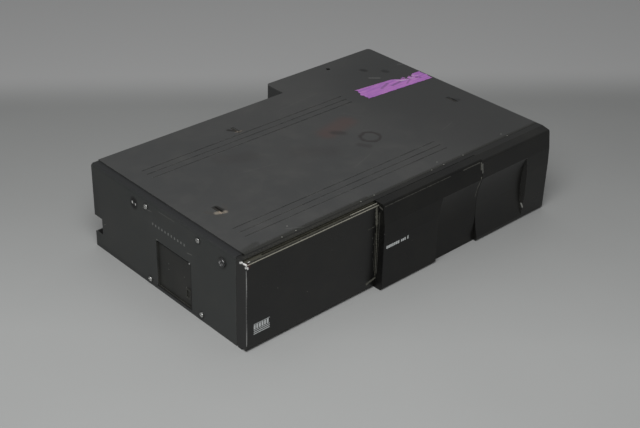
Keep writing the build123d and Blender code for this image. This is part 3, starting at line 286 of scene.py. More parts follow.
# One object from several grids of points, each rows by columns; a grid's columns may close on themselves.
def gridMesh(name, grids, body, material, smooth=True):
    points, faces, start = [], [], 0
    for grid, closed in grids:
        rows, columns = grid.shape[:2]
        row, column = np.meshgrid(np.arange(rows - 1), np.arange(columns if closed else columns - 1),
                                  indexing="ij")
        beside = (column + 1) % columns
        quads = np.stack([row * columns + column, row * columns + beside,
                          (row + 1) * columns + beside, (row + 1) * columns + column], axis=-1)
        faces.append(quads.reshape(-1, 4) + start)
        points.append(grid.reshape(-1, 3))
        start += rows * columns
    points = np.concatenate(points)
    faces = np.concatenate(faces)
    mesh = bpy.data.meshes.new(name)
    mesh.vertices.add(len(points))
    mesh.vertices.foreach_set("co", points.astype(np.float32).ravel())
    mesh.loops.add(faces.size)
    mesh.loops.foreach_set("vertex_index", faces.ravel())
    mesh.polygons.add(len(faces))
    mesh.polygons.foreach_set("loop_start", np.arange(0, faces.size, 4))
    mesh.update(calc_edges=True)
    cleaned = bmesh.new()
    cleaned.from_mesh(mesh)
    bmesh.ops.remove_doubles(cleaned, verts=cleaned.verts, dist=2e-6)
    bmesh.ops.recalc_face_normals(cleaned, faces=cleaned.faces)
    cleaned.to_mesh(mesh)
    cleaned.free()
    mesh.polygons.foreach_set("use_smooth", np.full(len(mesh.polygons), smooth))
    mesh.materials.append(material)
    piece = bpy.data.objects.new(name, mesh)
    bpy.context.scene.collection.objects.link(piece)
    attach(piece, body)
    return piece


coverLook = {
    "colour": (0.040, 0.041, 0.041), "shade": (0.048, 0.048, 0.047), "dustColour": (0.15, 0.145, 0.13),
    "dust": 0.09, "roughness": 0.44, "roughSpread": 0.07, "grain": 0.6, "bump": 0.12, "cloudScale": 7.0,
    "frontChips": [(49.4, 11.8), (64.2, 22.3), (65.2, 12.0), (141.5, 11.5), (158.5, 12.2), (232.5, 10.8),
                   (247.6, 18.3), (249.1, 11), (277.1, 11.9), (339, 17.3), (341, 11.1)],
    "chipWidth": 1.3,
}
scratches = [((330.8, 193.7), (339.9, 186.3), 1.8, 0.8, 0.7), ((380, 200), (386, 196), 1.4, 0.8, 0.5),
             ((60, 20), (74, 12), 0.5, 0.3, 0.35), ((180, 60), (214, 71), 0.4, 0.3, 0.22),
             ((90, 120), (131, 112), 0.4, 0.3, 0.2), ((250, 150), (262, 131), 0.4, 0.3, 0.25),
             ((300, 60), (322, 66), 0.5, 0.4, 0.25), ((205, 195), (262, 201), 0.5, 0.4, 0.2)]
stains = [((208, 127), (240, 134), 28.0, 18.0, 0.48)]
smudges = [((214, 124), (220, 118), 11.0, 8.0, 0.7), ((216, 90), (221, 82), 10.0, 8.0, 0.5),
           ((96, 150), (120, 138), 26.0, 20.0, 0.25), ((160, 116), (186, 98), 28.0, 22.0, 0.22)]
dents = [((339.4, 213.0), (340.6, 210.0), 9.0, 1.6, 1.0), ((356.0, 196.5), (357.2, 193.4), 9.0, 2.0, 0.95),
         ((360.5, 102.5), (365, 96.5), 6.0, 3.0, 0.8)]
frontGrime = [((4, 11.6), (150, 11.6), 9.0, 4.5, 0.85), ((150, 11.2), (383, 10.8), 6.5, 3.5, 0.75),
              ((2, 14), (26, 18), 8.0, 5.0, 0.5)]
# Round each lanced bridge: painted shade in the gap behind it, the bared edge in front and the grime about
# it.
lanceGapShade = [((37.4, 85.0), (38.2, 79.2), 8.0, 1.6, 1.0), ((138.4, 193.6), (142.8, 187.6), 5.6, 2.0, 0.95)]
lanceEdges = [((31.6, 77.4), (38.8, 74.6), 6.4, 1.8, 1.0), ((141, 186), (147, 184.6), 3.0, 1.4, 0.5)]
lanceHaze = [((26, 84), (33, 71), 7.0, 5.0, 0.3), ((41, 74), (45, 84), 5.0, 4.0, 0.25),
             ((144, 187), (150, 184), 4.0, 3.0, 0.3)]
# Painted shade: the whole right end, which is darker than the rest.
paintedShadeRightEnd = [((392, -30), (392, 150), 330.0, 30.0, 0.55)]
coverMaterial = finish("charcoalSatinPaint", coverLook, marks=[
    {"strokes": onCover(paintedShadeRightEnd), "colour": (0.019, 0.0195, 0.0195)},
    {"strokes": onCover(stains), "colour": (0.075, 0.038, 0.033)},
    {"strokes": onCover(smudges), "colour": (0.024, 0.020, 0.020), "rough": 0.5},
    {"ring": (235.5, 95.2, coverHeight), "stretch": (103, 103, 0), "width": 0.30, "strength": 0.7,
     "colour": (0.014, 0.009, 0.009)},
    {"strokes": onCover(frontGrime), "colour": (0.012, 0.012, 0.009), "rough": 0.6},
    {"strokes": onCover(lanceHaze), "colour": (0.045, 0.038, 0.03)},
    {"strokes": onCover(lanceEdges), "colour": (0.19, 0.165, 0.135)},
    {"strokes": onCover(lanceGapShade), "colour": (0.008, 0.007, 0.006)},
    {"strokes": onCover(dents), "colour": (0.010, 0.010, 0.010), "depth": -1.5},
    {"strokes": onCover(scratches), "colour": (0.2, 0.2, 0.19), "rough": 0.6},
    {"strokes": onCover(dots(coverLook["frontChips"], coverLook["chipWidth"], 0.8)),
     "colour": (0.42, 0.42, 0.38), "rough": 0.6},
], edge={"radius": 0.0005, "amount": 0.45, "colour": (0.16, 0.16, 0.15), "strength": 0.5})
dress(coverMaterial, "top_cover")

sideLook = {
    "colour": (0.0225, 0.0255, 0.0245), "shade": (0.0285, 0.030, 0.029), "dustColour": (0.13, 0.125, 0.11),
    "dust": 0.08, "roughness": 0.48, "grain": 0.6, "bump": 0.12, "cloudScale": 9.0,
}
sideRubs = [((0, 128, 66), (0, 78, 63), 30.0, 16.0, 0.22), ((0, 160, 68), (0, 118, 70), 16.0, 10.0, 0.2)]
# Painted shade: a dark strip along the top flange, down the rear end and along the foot of the side.
paintedSideShade = [((5.0, 14, 89), (5.0, 226, 89), 12.0, 3.0, 1.0),
               ((0, 225, 60), (0, 222, 20), 26.0, 14.0, 0.5),
               ((0, 60, 1.5), (0, 220, 1.5), 9.0, 5.0, 0.5)]
# Painted shadow round the screw and bolt heads and round the free bracket hole.
screwShade = [((0, y, z), (0, y, z), 9.4, 1.2, 0.7) for y, z in fastenerPlaces["screws"]]
screwShade += [((0, y, z), (0, y, z), 14.0, 1.2, 0.9) for y, z in fastenerPlaces["bolts"]]
screwShade += [((0, 156.0, 78.0), (0, 156.6, 75.4), 14.0, 1.8, 1.0)]   # round the free bracket hole
# Painted shade along the window's bottom and front edges and at its top front corner.
windowEdgeShade = [((0.5, 75, 3.9), (0.5, 125, 3.9), 2.4, 0.3, 1.0),
               ((0.6, 74.7, 4), (0.6, 74.7, 52), 2.4, 0.3, 1.0),
               ((0, 74.6, 50), (0, 78, 53.2), 2.0, 0.4, 0.8)]
# Painted highlights on the rim of the free bracket hole.
holeGlints = [((0, 158.9, 77.2), (0, 158.9, 76.0), 2.0, 0.3, 1.0),
              ((0, 154.0, 76.6), (0, 154.2, 75.6), 1.7, 0.3, 1.0)]
# Pale scuffs, with a painted highlight at the window's top rear corner.
sideScuffsAndGlint = [((0, 79.1, 61.5), (0, 72.2, 62.6), 1.1, 0.6, 0.4),
              ((0, 124, 53.8), (0, 123, 53.6), 1.6, 0.4, 0.6),
              ((0, 143, 78), (0, 130, 79.5), 1.2, 0.7, 0.3), ((0, 206, 31), (0, 209, 29), 0.8, 0.4, 0.5),
              ((0, 119, 84.5), (0, 96, 84.8), 0.6, 0.5, 0.35)]
sideMaterial = finish("charcoalSidePaint", sideLook, marks=[
    {"strokes": sideRubs, "colour": (0.042, 0.044, 0.042)},
    {"strokes": paintedSideShade, "colour": (0.0135, 0.014, 0.015)},
    {"strokes": screwShade + windowEdgeShade, "colour": (0.004, 0.004, 0.004), "rough": 0.7},
    {"strokes": holeGlints, "colour": (0.75, 0.75, 0.73), "rough": 0.3},
    {"strokes": sideScuffsAndGlint, "colour": (0.22, 0.22, 0.20), "rough": 0.55},
], edge={"radius": 0.0005, "amount": 0.5, "colour": (0.15, 0.15, 0.14), "strength": 0.6})
dress(sideMaterial, "left_side_plate", "right_side_plate")
floorMaterial = finish("charcoalFloorPaint",
                       dict(sideLook, colour=(0.026, 0.028, 0.028), shade=(0.032, 0.033, 0.033)),
                       edge={"radius": 0.0005, "amount": 0.4, "colour": (0.14, 0.14, 0.13), "strength": 0.5})
dress(floorMaterial, "bottom_chassis")
print("case painted")


# Front surface of a node at a place, found by a ray along the depth, in millimetres from the panel's foot.
def faceDepth(node, x, z, reach=30.0):
    start = Vector(place(x, -reach, z))
    spot, normal = nodes[node].ray_cast(start, Vector((0, 1, 0)))[1:3]
    return (spot.y - panelFoot) * 1000, normal


def onFront(node, x, z):  # a place on the front surface of a node
    return (x, faceDepth(node, x, z)[0], z)


frontLook = {
    "colour": (0.0060, 0.0060, 0.0058), "shade": (0.0085, 0.0083, 0.0072), "cloudScale": 16.0,
    "dustColour": (0.06, 0.058, 0.045), "dust": 0.06, "roughness": 0.30, "roughSpread": 0.09,
    "grain": 0.35, "grainScale": 3200.0, "bump": 0.08, "ior": 1.42,
}
# Painted highlight along the left panel's rounded top edge, with worn pale lines.
panelTopHighlightAndWear = [((2.0, -0.5, 87.5), (150, -0.5, 87.5), 1.7, 0.35, 1.0),
                ((60, -0.7, 87.4), (152, -0.7, 87.4), 1.9, 0.6, 0.9),
                ((120, 2.6, 88.4), (152, 2.6, 88.4), 1.6, 0.7, 0.95)]
ledgeDirt = [((4, 3.4, 88.4), (150, 3.4, 88.4), 6.5, 2.6, 0.85),
             ((4, 7.6, 88), (152, 7.6, 88), 5.0, 2.6, 0.9)]
doorRub = [((149.6, -1.2, 87), (150.4, -1.2, 69), 4.0, 2.4, 0.75),
           ((150.6, -1.2, 70), (152.0, -1.2, 10), 1.5, 1.0, 0.75),
           ((139.5, -1.2, 66.8), (151, -1.2, 67.6), 1.1, 0.6, 0.85),
           ((142, -1.2, 8), (152, -1.2, 10.5), 3.2, 2.6, 0.75),
           ((148.4, -1.2, 88), (149.4, -1.2, 76), 1.2, 0.8, 0.7),
           ((149.0, -1.2, 60), (149.6, -1.2, 20), 1.0, 0.9, 0.4)]
# Bright chips at the front-left corner: worn paint, and painted highlights on its rounded edges.
cornerChipsAndHighlights = [((0.2, 2.8, 88.4), (0.8, 0.4, 88.6), 2.8, 0.8, 1.0),
               ((1.3, -0.9, 85.6), (2.1, -0.9, 84.2), 3.0, 0.7, 1.0),
               ((0.3, 5.2, 88.4), (0.1, 7.0, 87.2), 2.6, 0.8, 1.0),
               ((0.8, 0.2, 87.4), (0.3, 0.2, 85.2), 1.8, 0.7, 1.0),
               ((4.5, 2.0, 88.4), (6.0, 2.2, 88.4), 1.2, 0.4, 0.7)]
cornerStain = [((1.0, 1.6, 88), (3.8, -0.6, 86.0), 4.4, 1.4, 0.9)]
# Painted highlight down the rounded front-left edge.
frontEdgeShine = [((0.35, -0.7, 83), (0.35, -0.7, 7), 1.1, 0.15, 0.85)]
# Painted highlights on the right panel's edge by the seam and at the foot of the scoop's right end.
seamHighlights = [(onFront("front_fascia", 285.4, 85), onFront("front_fascia", 285.4, 76), 1.5, 0.5, 0.9),
             (onFront("front_fascia", 352.6, 17), onFront("front_fascia", 353.4, 13), 2.2, 0.6, 1.0)]
fasciaSpecks = [(12.5, -1, 84.6), (371, -6.5, 87.6), (280.2, -7.2, 88.4), (353.3, -9, 14.4), (34, -1.1, 52),
                (68, -1.2, 33), (96, -1.2, 64), (146, -1.2, 56), (147.5, -1.2, 49), (146.6, -1.2, 41),
                (147.8, -1.2, 33)]
fasciaMaterial = finish("frontBlackPlastic", frontLook, marks=[
    {"strokes": cornerStain, "colour": (0.035, 0.007, 0.010)},
    {"strokes": ledgeDirt, "colour": (0.050, 0.048, 0.035), "rough": 0.7},
    {"strokes": panelTopHighlightAndWear, "colour": (0.30, 0.29, 0.24), "rough": 0.5},
    {"strokes": doorRub, "colour": (0.16, 0.157, 0.13), "rough": 0.6},
    {"strokes": frontEdgeShine, "colour": (0.34, 0.34, 0.335), "rough": 0.4},
    {"strokes": seamHighlights, "colour": (0.20, 0.20, 0.185), "rough": 0.5},
    {"strokes": cornerChipsAndHighlights, "colour": (0.72, 0.72, 0.70), "rough": 0.3},
    {"strokes": dots(fasciaSpecks, 1.0, 0.6), "colour": (0.30, 0.30, 0.27), "rough": 0.6},
], edge={"radius": 0.0005, "amount": 0.35, "colour": (0.10, 0.10, 0.092), "strength": 0.55})
dress(fasciaMaterial, "front_fascia")

# Rubs along the door's left end and top lip, and painted highlights down its right edge by the seam.
doorRubsAndSeamHighlights = [((152.8, 1.5, 87), (152.8, -4.5, 85), 2.2, 1.0, 0.6),
               ((152.6, -1.6, 80), (152.6, -1.8, 16), 1.0, 0.6, 0.5),
               ((155, -6.0, 87.6), (240, -6.0, 87.8), 1.1, 0.9, 0.4),
               ((258, -6.0, 87.8), (281, -6.0, 87.8), 1.3, 0.8, 0.55),
               (onFront("sliding_door", 283.2, 87), onFront("sliding_door", 283.2, 80), 1.8, 0.6, 1.0),
               (onFront("sliding_door", 283.4, 72), onFront("sliding_door", 281.8, 60), 1.8, 0.6, 1.0),
               (onFront("sliding_door", 281.8, 60), onFront("sliding_door", 281.4, 50), 1.2, 0.6, 0.7)]
# Painted shade in the seams at the door's two ends.
doorSeamShade = [((152.6, -8.6, 86), (152.6, -9, 4), 1.3, 0.4, 0.9),
             ((284.2, -8, 88), (284.2, -6, 4), 1.2, 0.3, 0.9)]
doorSpecks = [(153.2, -8.2, 86.5), (160.5, -8.6, 77.6), (152.8, -8.9, 61), (222, -7, 84.2), (268, -8.2, 78),
              (190, -8.9, 40)]
doorMaterial = finish("doorBlackPlastic", dict(frontLook, ior=1.32), marks=[
    {"strokes": doorSeamShade, "colour": (0.002, 0.002, 0.002), "rough": 0.8},
    {"strokes": doorRubsAndSeamHighlights, "colour": (0.13, 0.128, 0.112), "rough": 0.55},
    {"strokes": dots(doorSpecks, 1.0, 0.6), "colour": (0.26, 0.26, 0.24), "rough": 0.6},
], edge={"radius": 0.0005, "amount": 0.35, "colour": (0.085, 0.085, 0.078), "strength": 0.6})
dress(doorMaterial, "sliding_door")

keyMaterial = finish("keyPlastic", {"colour": (0.02, 0.02, 0.022), "roughness": 0.45, "grain": 0.7},
                     edge={"radius": 0.0003, "amount": 0.5, "colour": (0.1, 0.1, 0.1), "strength": 0.5})
dress(keyMaterial, "eject_button")
print("front dressed")


bayLook = {"colour": (0.0125, 0.013, 0.0115), "shade": (0.017, 0.017, 0.015), "cloudScale": 24.0,
           "dustColour": (0.10, 0.10, 0.08), "dust": 0.10, "roughness": 0.5, "grain": 0.9, "bump": 0.2}
baySpots = [(109.6, 34.3), (110, 28.3), (87, 31.5), (83.9, 22.5), (84, 12.5)]
# Painted shadow under the window's top edge and down its front edge.
bayEdgeShadow = [((124, 51.6), (78, 51.6), 5.4, 0.4, 1.0), ((76.0, 50), (76.0, 6), 4.0, 0.4, 1.0)]
# Painted highlights at the window's two top corners.
bayGlints = [((78.4, 50.4), (79.2, 49.4), 2.0, 0.5, 1.0), ((123.6, 52), (123, 52), 1.4, 0.3, 0.8)]
bayMaterial = finish("bayCoverPlastic", bayLook, marks=[
    {"strokes": onBay(dots(baySpots, 1.3, 0.8)), "colour": (0.19, 0.19, 0.18), "rough": 0.5},
    {"strokes": onBay(bayEdgeShadow), "colour": (0.004, 0.004, 0.004), "rough": 0.8},
    {"strokes": onBay(bayGlints), "colour": (0.6, 0.6, 0.58), "rough": 0.4},
], edge={"radius": 0.0004, "amount": 0.6, "colour": (0.14, 0.14, 0.12), "strength": 0.6})
dress(bayMaterial, "side_bay_cover")


zincLook = {"colour": (0.58, 0.58, 0.56), "shade": (0.46, 0.46, 0.45), "metallic": 1.0, "roughness": 0.27,
            "grain": 0.5, "dustColour": (0.1, 0.09, 0.08), "dust": 0.25, "cloudScale": 260.0, "ior": 1.5}
zincMaterial = finish("brightZincPlate", zincLook)
darkBoltLook = {"colour": (0.05, 0.05, 0.052), "shade": (0.08, 0.08, 0.08), "metallic": 0.85, "grain": 0.5,
                "roughness": 0.3, "cloudScale": 300.0, "dustColour": (0.2, 0.19, 0.17), "dust": 0.2}
darkBoltMaterial = finish("blackOxideBolt", darkBoltLook,
                          edge={"radius": 0.0004, "amount": 0.6, "colour": (0.5, 0.5, 0.5), "strength": 0.8})


# Turned head, rows along the profile (radius, height) and columns round it; a cross recess sinks the crown.
# The recess is the larger of two crossed slots, each a product of two ramps, across and along.
def headGrid(profile, recess, turns=64):
    radius, height = np.array(profile, float).T
    angle = np.linspace(0, 2 * pi, turns, endpoint=False)
    across = radius[:, None] * np.cos(angle)
    up = radius[:, None] * np.sin(angle)

    def crossSlot(a, b):
        inWidth = np.clip((recess["half"] - np.abs(a)) / recess["soft"], 0, 1)
        inLength = np.clip((recess["reach"] - np.abs(b)) / recess["soft"], 0, 1)
        return inWidth * inLength

    onCrown = (np.arange(len(radius)) >= recess["fromRow"])[:, None]
    cut = np.maximum(crossSlot(across, up), crossSlot(up, across)) * onCrown
    return across, up, height[:, None] - recess["depth"] * cut


# Heads on both sides of the case, each turned by its own angle, in place of the node's plain ones.
def sideHeads(name, look, material, node):
    grids = []
    for side in (-1, 1):
        for count, (y, z) in enumerate(look["places"]):
            across, up, out = headGrid(panProfile(look), look["recess"])
            angle = look["twist"] * (count + 1 + side)
            turnedA = across * cos(angle) - up * sin(angle)
            turnedB = across * sin(angle) + up * cos(angle)
            face = caseLeft if side < 0 else caseRight
            back, rise = panelFoot + (y + turnedA) / 1000, (z + turnedB) / 1000
            grids.append((np.stack([face + side * out / 1000, back, rise], axis=-1), True))
    piece = gridMesh(name, grids, "case", material)
    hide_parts(node)


screwLook = {
    "places": fastenerPlaces["screws"], "shank": 1.5, "reach": 5.9, "head": 2.4, "height": 1.6, "twist": 0.7,
    "recess": {"half": 0.42, "reach": 1.35, "soft": 0.16, "depth": 0.9, "fromRow": 7},
}
boltLook = {
    "places": fastenerPlaces["bolts"], "shank": 2.0, "reach": 5.9, "head": 4.0, "height": 2.4, "twist": 0.35,
    "recess": {"half": 0.6, "reach": 2.0, "soft": 0.25, "depth": 1.3, "fromRow": 7},
}


def panProfile(look):  # shank, under the head, up its side, then over a flattened dome to the middle
    shank, head, height = look["shank"], look["head"], look["height"]
    dome = [(head * cos(t), height * 0.45 + height * 0.55 * sin(t)) for t in np.linspace(0.15, 1.2, 6)]
    rim, top = dome[-1]
    crown = [(r, top + (height - top) * (1 - (r / rim) ** 2)) for r in np.linspace(rim, 0, 14)[1:]]
    foot = -look["reach"]
    return [(0, foot), (shank, foot), (shank, 0), (head, 0), (head, height * 0.4)] + dome + crown


sideHeads("side_screw_heads", screwLook, zincMaterial, "side_screws")
sideHeads("bracket_bolt_heads", boltLook, darkBoltMaterial, "bracket_bolts")

threadLook = {"place": fastenerPlaces["thread"], "outer": 2.08, "inner": 1.82, "pitch": 0.8, "length": 4.8,
              "flank": 0.4, "steps": 40}   # flank: half a ridge's width, in pitches; steps: points in a turn


# Helical ridge: the radius dips once in each pitch along the hole, in step with the angle round it.
def threadRidge(side):
    pitch, length = threadLook["pitch"], threadLook["length"]
    back, up = threadLook["place"]
    turns = length / pitch
    angle = np.linspace(0, 2 * pi * turns, int(turns * threadLook["steps"]))
    offset = np.array([-threadLook["flank"], 0.0, threadLook["flank"]]) * pitch
    radius = np.array([threadLook["outer"], threadLook["inner"], threadLook["outer"]])
    depth = np.clip(pitch * angle[:, None] / (2 * pi) + offset + pitch * 0.5, 0.02, length)
    face = caseLeft if side < 0 else caseRight
    rows = [np.stack([face - side * depth[:, i] / 1000,
                      panelFoot + (back + radius[i] * np.cos(angle)) / 1000,
                      (up + radius[i] * np.sin(angle)) / 1000], axis=-1) for i in range(3)]
    rows.append(rows[0])
    return np.stack(rows, axis=1), False


nutMaterial = finish("dullSteelNut", {"colour": (0.10, 0.10, 0.10), "metallic": 0.8, "roughness": 0.4,
                                      "grain": 0.6})
gridMesh("bracket_threads", [threadRidge(-1), threadRidge(1)], "case", nutMaterial,
         smooth=False)
dress(nutMaterial, "bracket_nuts")
dress(zincMaterial, "notch_screw", "cover_screws", "frame_screws", "board_screws")
print("fasteners made")


lanceLook = {"places": [(35.9, 80.8), (144.3, 189.2), (360.2, 101.1)], "width": 2.0, "length": 12.5,
             "rise": 0.35, "side": 0.75, "tip": 0.25, "sunk": 0.18, "thickness": 0.4}
# The tongues are dark as painted shade of the slits beside them, with their bared edges in tan.
lanceMetal = finish("darkLanceMetal", {"colour": (0.016, 0.014, 0.012), "shade": (0.03, 0.026, 0.02),
                                        "roughness": 0.6, "grain": 1.2, "cloudScale": 180.0},
                    marks=[{"strokes": onCover(lanceEdges), "colour": (0.24, 0.195, 0.15), "rough": 0.5}])


# A strip bowed along its length: its height is half a sine wave along it, less a square of the place across.
def lanceGrid(x, y):
    along = np.linspace(-1, 1, 15)[:, None]
    over = np.linspace(-1, 1, 7)[None, :]
    lift = lanceLook["rise"] * np.cos(along * pi / 2) * np.ones_like(over) - lanceLook["tip"] * over ** 2
    east = x - lanceLook["side"] + over * lanceLook["width"] / 2 * (1 - 0.25 * along ** 4)
    back = y + along * lanceLook["length"] / 2 + 0 * over
    top = caseTop * 1000 - lanceLook["sunk"] + lift
    upper = np.stack([caseLeft + east / 1000, panelFoot + back / 1000, top / 1000], axis=-1)
    lower = upper.copy()
    lower[..., 2] = caseTop - (lanceLook["sunk"] + lanceLook["thickness"]) / 1000
    ring = np.concatenate([upper, lower[:, ::-1]], axis=1)
    cap = ring.mean(axis=1, keepdims=True) + 0 * ring
    ring = np.concatenate([cap[:1], ring, cap[-1:]], axis=0)
    return ring, True


gridMesh("lanced_tongues", [lanceGrid(*spot) for spot in lanceLook["places"]], "case", lanceMetal)


labelLook = {
    # near left, far left, far right and near right
    "corners": [(294.0, 157.4), (297.4, 180.6), (385.5, 171.6), (384.4, 151.2)],
    "thickness": 0.14, "lift": 0.35, "tearFrom": 0.60, "tearTo": 0.86, "tearDepth": 0.24,
    # the sines that fret its far, near and short edges: size, rate and start of each
    "farFret": [(0.022, 37, 1.3), (0.016, 83, 0), (0.02, 151, 0.6)],
    "nearFret": [(0.008, 43, 0), (0.006, 97, 2)],
    "endFret": [(0.012, 9, 0.4), (0.008, 23, 0)],
    "violet": (0.47, 0.18, 0.52), "deep": (0.33, 0.12, 0.44), "pale": (0.60, 0.33, 0.63),
}
labelMarks = [
    {"colour": (0.12, 0.07, 0.15), "strokes": [           # soiled streaks
        ((322, 166), (336, 171), 4.0, 3.0, 0.55), ((336, 164), (352, 166), 4.0, 3.0, 0.6),
        ((352, 158), (364, 164), 3.0, 2.5, 0.5)]},
    {"colour": (0.55, 0.42, 0.56), "strokes": [           # pale fibres where the skin is torn off
        ((349, 172), (353, 166.5), 2.0, 1.6, 0.9), ((352, 166.5), (369, 163.5), 2.4, 2.6, 0.7),
        ((369, 170), (376, 165), 1.8, 1.8, 0.8), ((361, 172), (366, 160), 1.2, 1.2, 0.7)]},
    {"colour": (0.03, 0.026, 0.03), "strokes": [          # bare cover that shows through
        ((357, 171), (362, 165), 3.0, 1.6, 1.0), ((364, 172), (369, 168), 3.2, 1.8, 1.0),
        ((371, 163), (375, 160), 2.6, 1.8, 0.95)]},
]


def sines(value, waves):
    return sum(size * np.sin(rate * value + start) for size, rate, start in waves)


# Four corners joined by a bilinear patch; the far edge is drawn in over the torn stretch, all edges are
# fretted by a few sines, and the skin lifts in low ripples that grow towards the tear.
def labelGrid():
    u = np.linspace(0, 1, 140)[:, None]
    v = np.linspace(0, 1, 22)[None, :]
    pastStart = 1 / (1 + np.exp(-(u - labelLook["tearFrom"]) * 60))
    beforeEnd = 1 / (1 + np.exp((u - labelLook["tearTo"]) * 60))
    inTear = pastStart * beforeEnd
    far = 1 - labelLook["tearDepth"] * inTear * (0.8 + 0.25 * np.sin(61 * u))
    far = far + sines(u, labelLook["farFret"]) * (0.25 + 1.2 * inTear)
    near = sines(u, labelLook["nearFret"])
    across = near + (far - near) * v
    end = sines(v, labelLook["endFret"])
    run = u + end * (1 - u) ** 5 - 0.5 * end * u ** 6
    nearLeft, farLeft, farRight, nearRight = [np.array(corner) for corner in labelLook["corners"]]
    low = nearLeft + (nearRight - nearLeft) * run[..., None]
    high = farLeft + (farRight - farLeft) * run[..., None]
    flat = low + (high - low) * across[..., None]
    nearTear = np.exp(-((u - 0.74) / 0.14) ** 2) * v
    wave = 0.5 + 0.5 * np.sin(26 * u + 5 * v) * np.sin(7 * v + 9 * u)
    curled = 0.25 * np.exp(-((1 - u) / 0.03) ** 2) * wave
    rise = 0.05 + labelLook["lift"] * (0.18 + nearTear) * wave + curled
    height = np.broadcast_to(caseTop * 1000 + rise, flat.shape[:2])
    return np.stack([caseLeft + flat[..., 0] / 1000, panelFoot + flat[..., 1] / 1000, height / 1000],
                    axis=-1)


# Stretched noise streaks two violets along the label; a second noise over a threshold rubs it pale, and the
# marks lie over both in order.
def labelMaterial():
    material, tree, shader, coords = newMaterial("violetLabelPaper")
    along = addNode(tree, "ShaderNodeMapping",
                    {"Vector": coords, "Scale": (30, 240, 1), "Rotation": (0, 0, 0.32)})
    streaks = ramp(tree, noiseOut(tree, along.outputs[0], 1.0, 4.0, 0.6), 0.38, 0.66)
    colour = mixColour(tree, streaks, (*labelLook["violet"], 1), (*labelLook["deep"], 1))
    rubbed = noiseOut(tree, coords, 120.0, 5.0, 0.7)
    colour = mixColour(tree, ramp(tree, rubbed, 0.60, 0.72, 0.0, 0.6), colour, (*labelLook["pale"], 1))
    for mark in labelMarks:
        mask = strokes(tree, coords, onCover(mark["strokes"]))
        colour = mixColour(tree, mask, colour, (*mark["colour"], 1))
    tree.links.new(colour, shader.inputs["Base Color"])
    tree.links.new(ramp(tree, rubbed, 0.3, 0.7, 0.5, 0.34), shader.inputs["Roughness"])
    bump = addNode(tree, "ShaderNodeBump", {"Height": rubbed, "Strength": 0.25, "Distance": 0.0002})
    tree.links.new(bump.outputs[0], shader.inputs["Normal"])
    return material


label = gridMesh("torn_label", [(labelGrid(), False)], "case", labelMaterial())
thick = label.modifiers.new("paper", "SOLIDIFY")
thick.thickness = labelLook["thickness"] / 1000
thick.offset = 1.0
print("label and lances laid")


printMaterial = finish("greyPrintInk", {"colour": (0.60, 0.62, 0.62), "shade": (0.46, 0.48, 0.48),
                                        "roughness": 0.5,
                                        "grain": 0.8, "cloudScale": 500.0})
faintPrint = finish("faintPrintInk", {"colour": (0.19, 0.195, 0.185), "shade": (0.09, 0.092, 0.09),
                                      "roughness": 0.5,
                                      "grain": 0.8, "cloudScale": 900.0})


# A thin raised plate: a closed ring of four corners round its rim, pinched shut on both faces.
def patch(origin, right, up, width, height, proud=0.04):
    origin, right, up = Vector(origin), Vector(right), Vector(up)
    out = right.cross(up).normalized() * proud
    rim = [(0, 0), (width, 0), (width, height), (0, height)]
    outer = [origin + right * a + up * b for a, b in rim]
    middle = origin + right * width / 2 + up * height / 2
    rows = [[middle - out] * 4, [p - out for p in outer], [p + out for p in outer], [middle + out] * 4]
    return np.array([[place(*p) for p in row] for row in rows]), True


# Bars laid on a front face; each bar is its offset across and up, its width and its height.
def frontPatches(node, look):
    grids = []
    for across, up, width, height in look["bars"]:
        x, z = look["left"] + across, look["foot"] + up
        depth, normal = faceDepth(node, x + width / 2, z + height / 2)
        lean = -normal.z / normal.y if abs(normal.y) > 0.5 else 0     # leans with the face
        tilt = Vector((0, lean, 1)).normalized()
        base = Vector((x, depth, z + height / 2)) - tilt * height / 2
        grids.append(patch(base, (1, 0, 0), tilt, width, height))
    return grids


panelPrint = {"left": 7.8, "foot": 15.5, "bars": [(0, up, 17.7, height) for up, height in
                                                  ((0, 0.9), (2.0, 0.9), (4.0, 0.7))]}
panelPrint["bars"] += [(2.86 * step, 5.4, 2.0, 4.4) for step in range(6)] + [(0, 10.3, 17.7, 0.5)]
gridMesh("panel_print", frontPatches("front_fascia", panelPrint), "case", printMaterial, smooth=False)

doorPrint = {"left": 156.0, "foot": 44.2, "bars": [(2.45 * step, 0, 2.0, 3.0) for step in range(7)]}
doorPrint["bars"] += [(19.0 + 2.2 * step, 0.2, 1.7, 2.6) for step in range(3)] + [(27.2, 0, 1.4, 3.4)]
gridMesh("door_print", frontPatches("sliding_door", doorPrint), "door", printMaterial, smooth=False)

sidePrint = {"from": 83.6, "to": 130.6, "step": 4.6, "foot": 66.5, "width": 1.7, "height": 2.4}
sideGrids = [patch((0, y, sidePrint["foot"]), (0, -1, 0), (0, 0, 1), sidePrint["width"], sidePrint["height"])
             for y in np.arange(sidePrint["from"], sidePrint["to"], sidePrint["step"])]
gridMesh("side_print", sideGrids, "case", faintPrint, smooth=False)
print("printed bars laid")


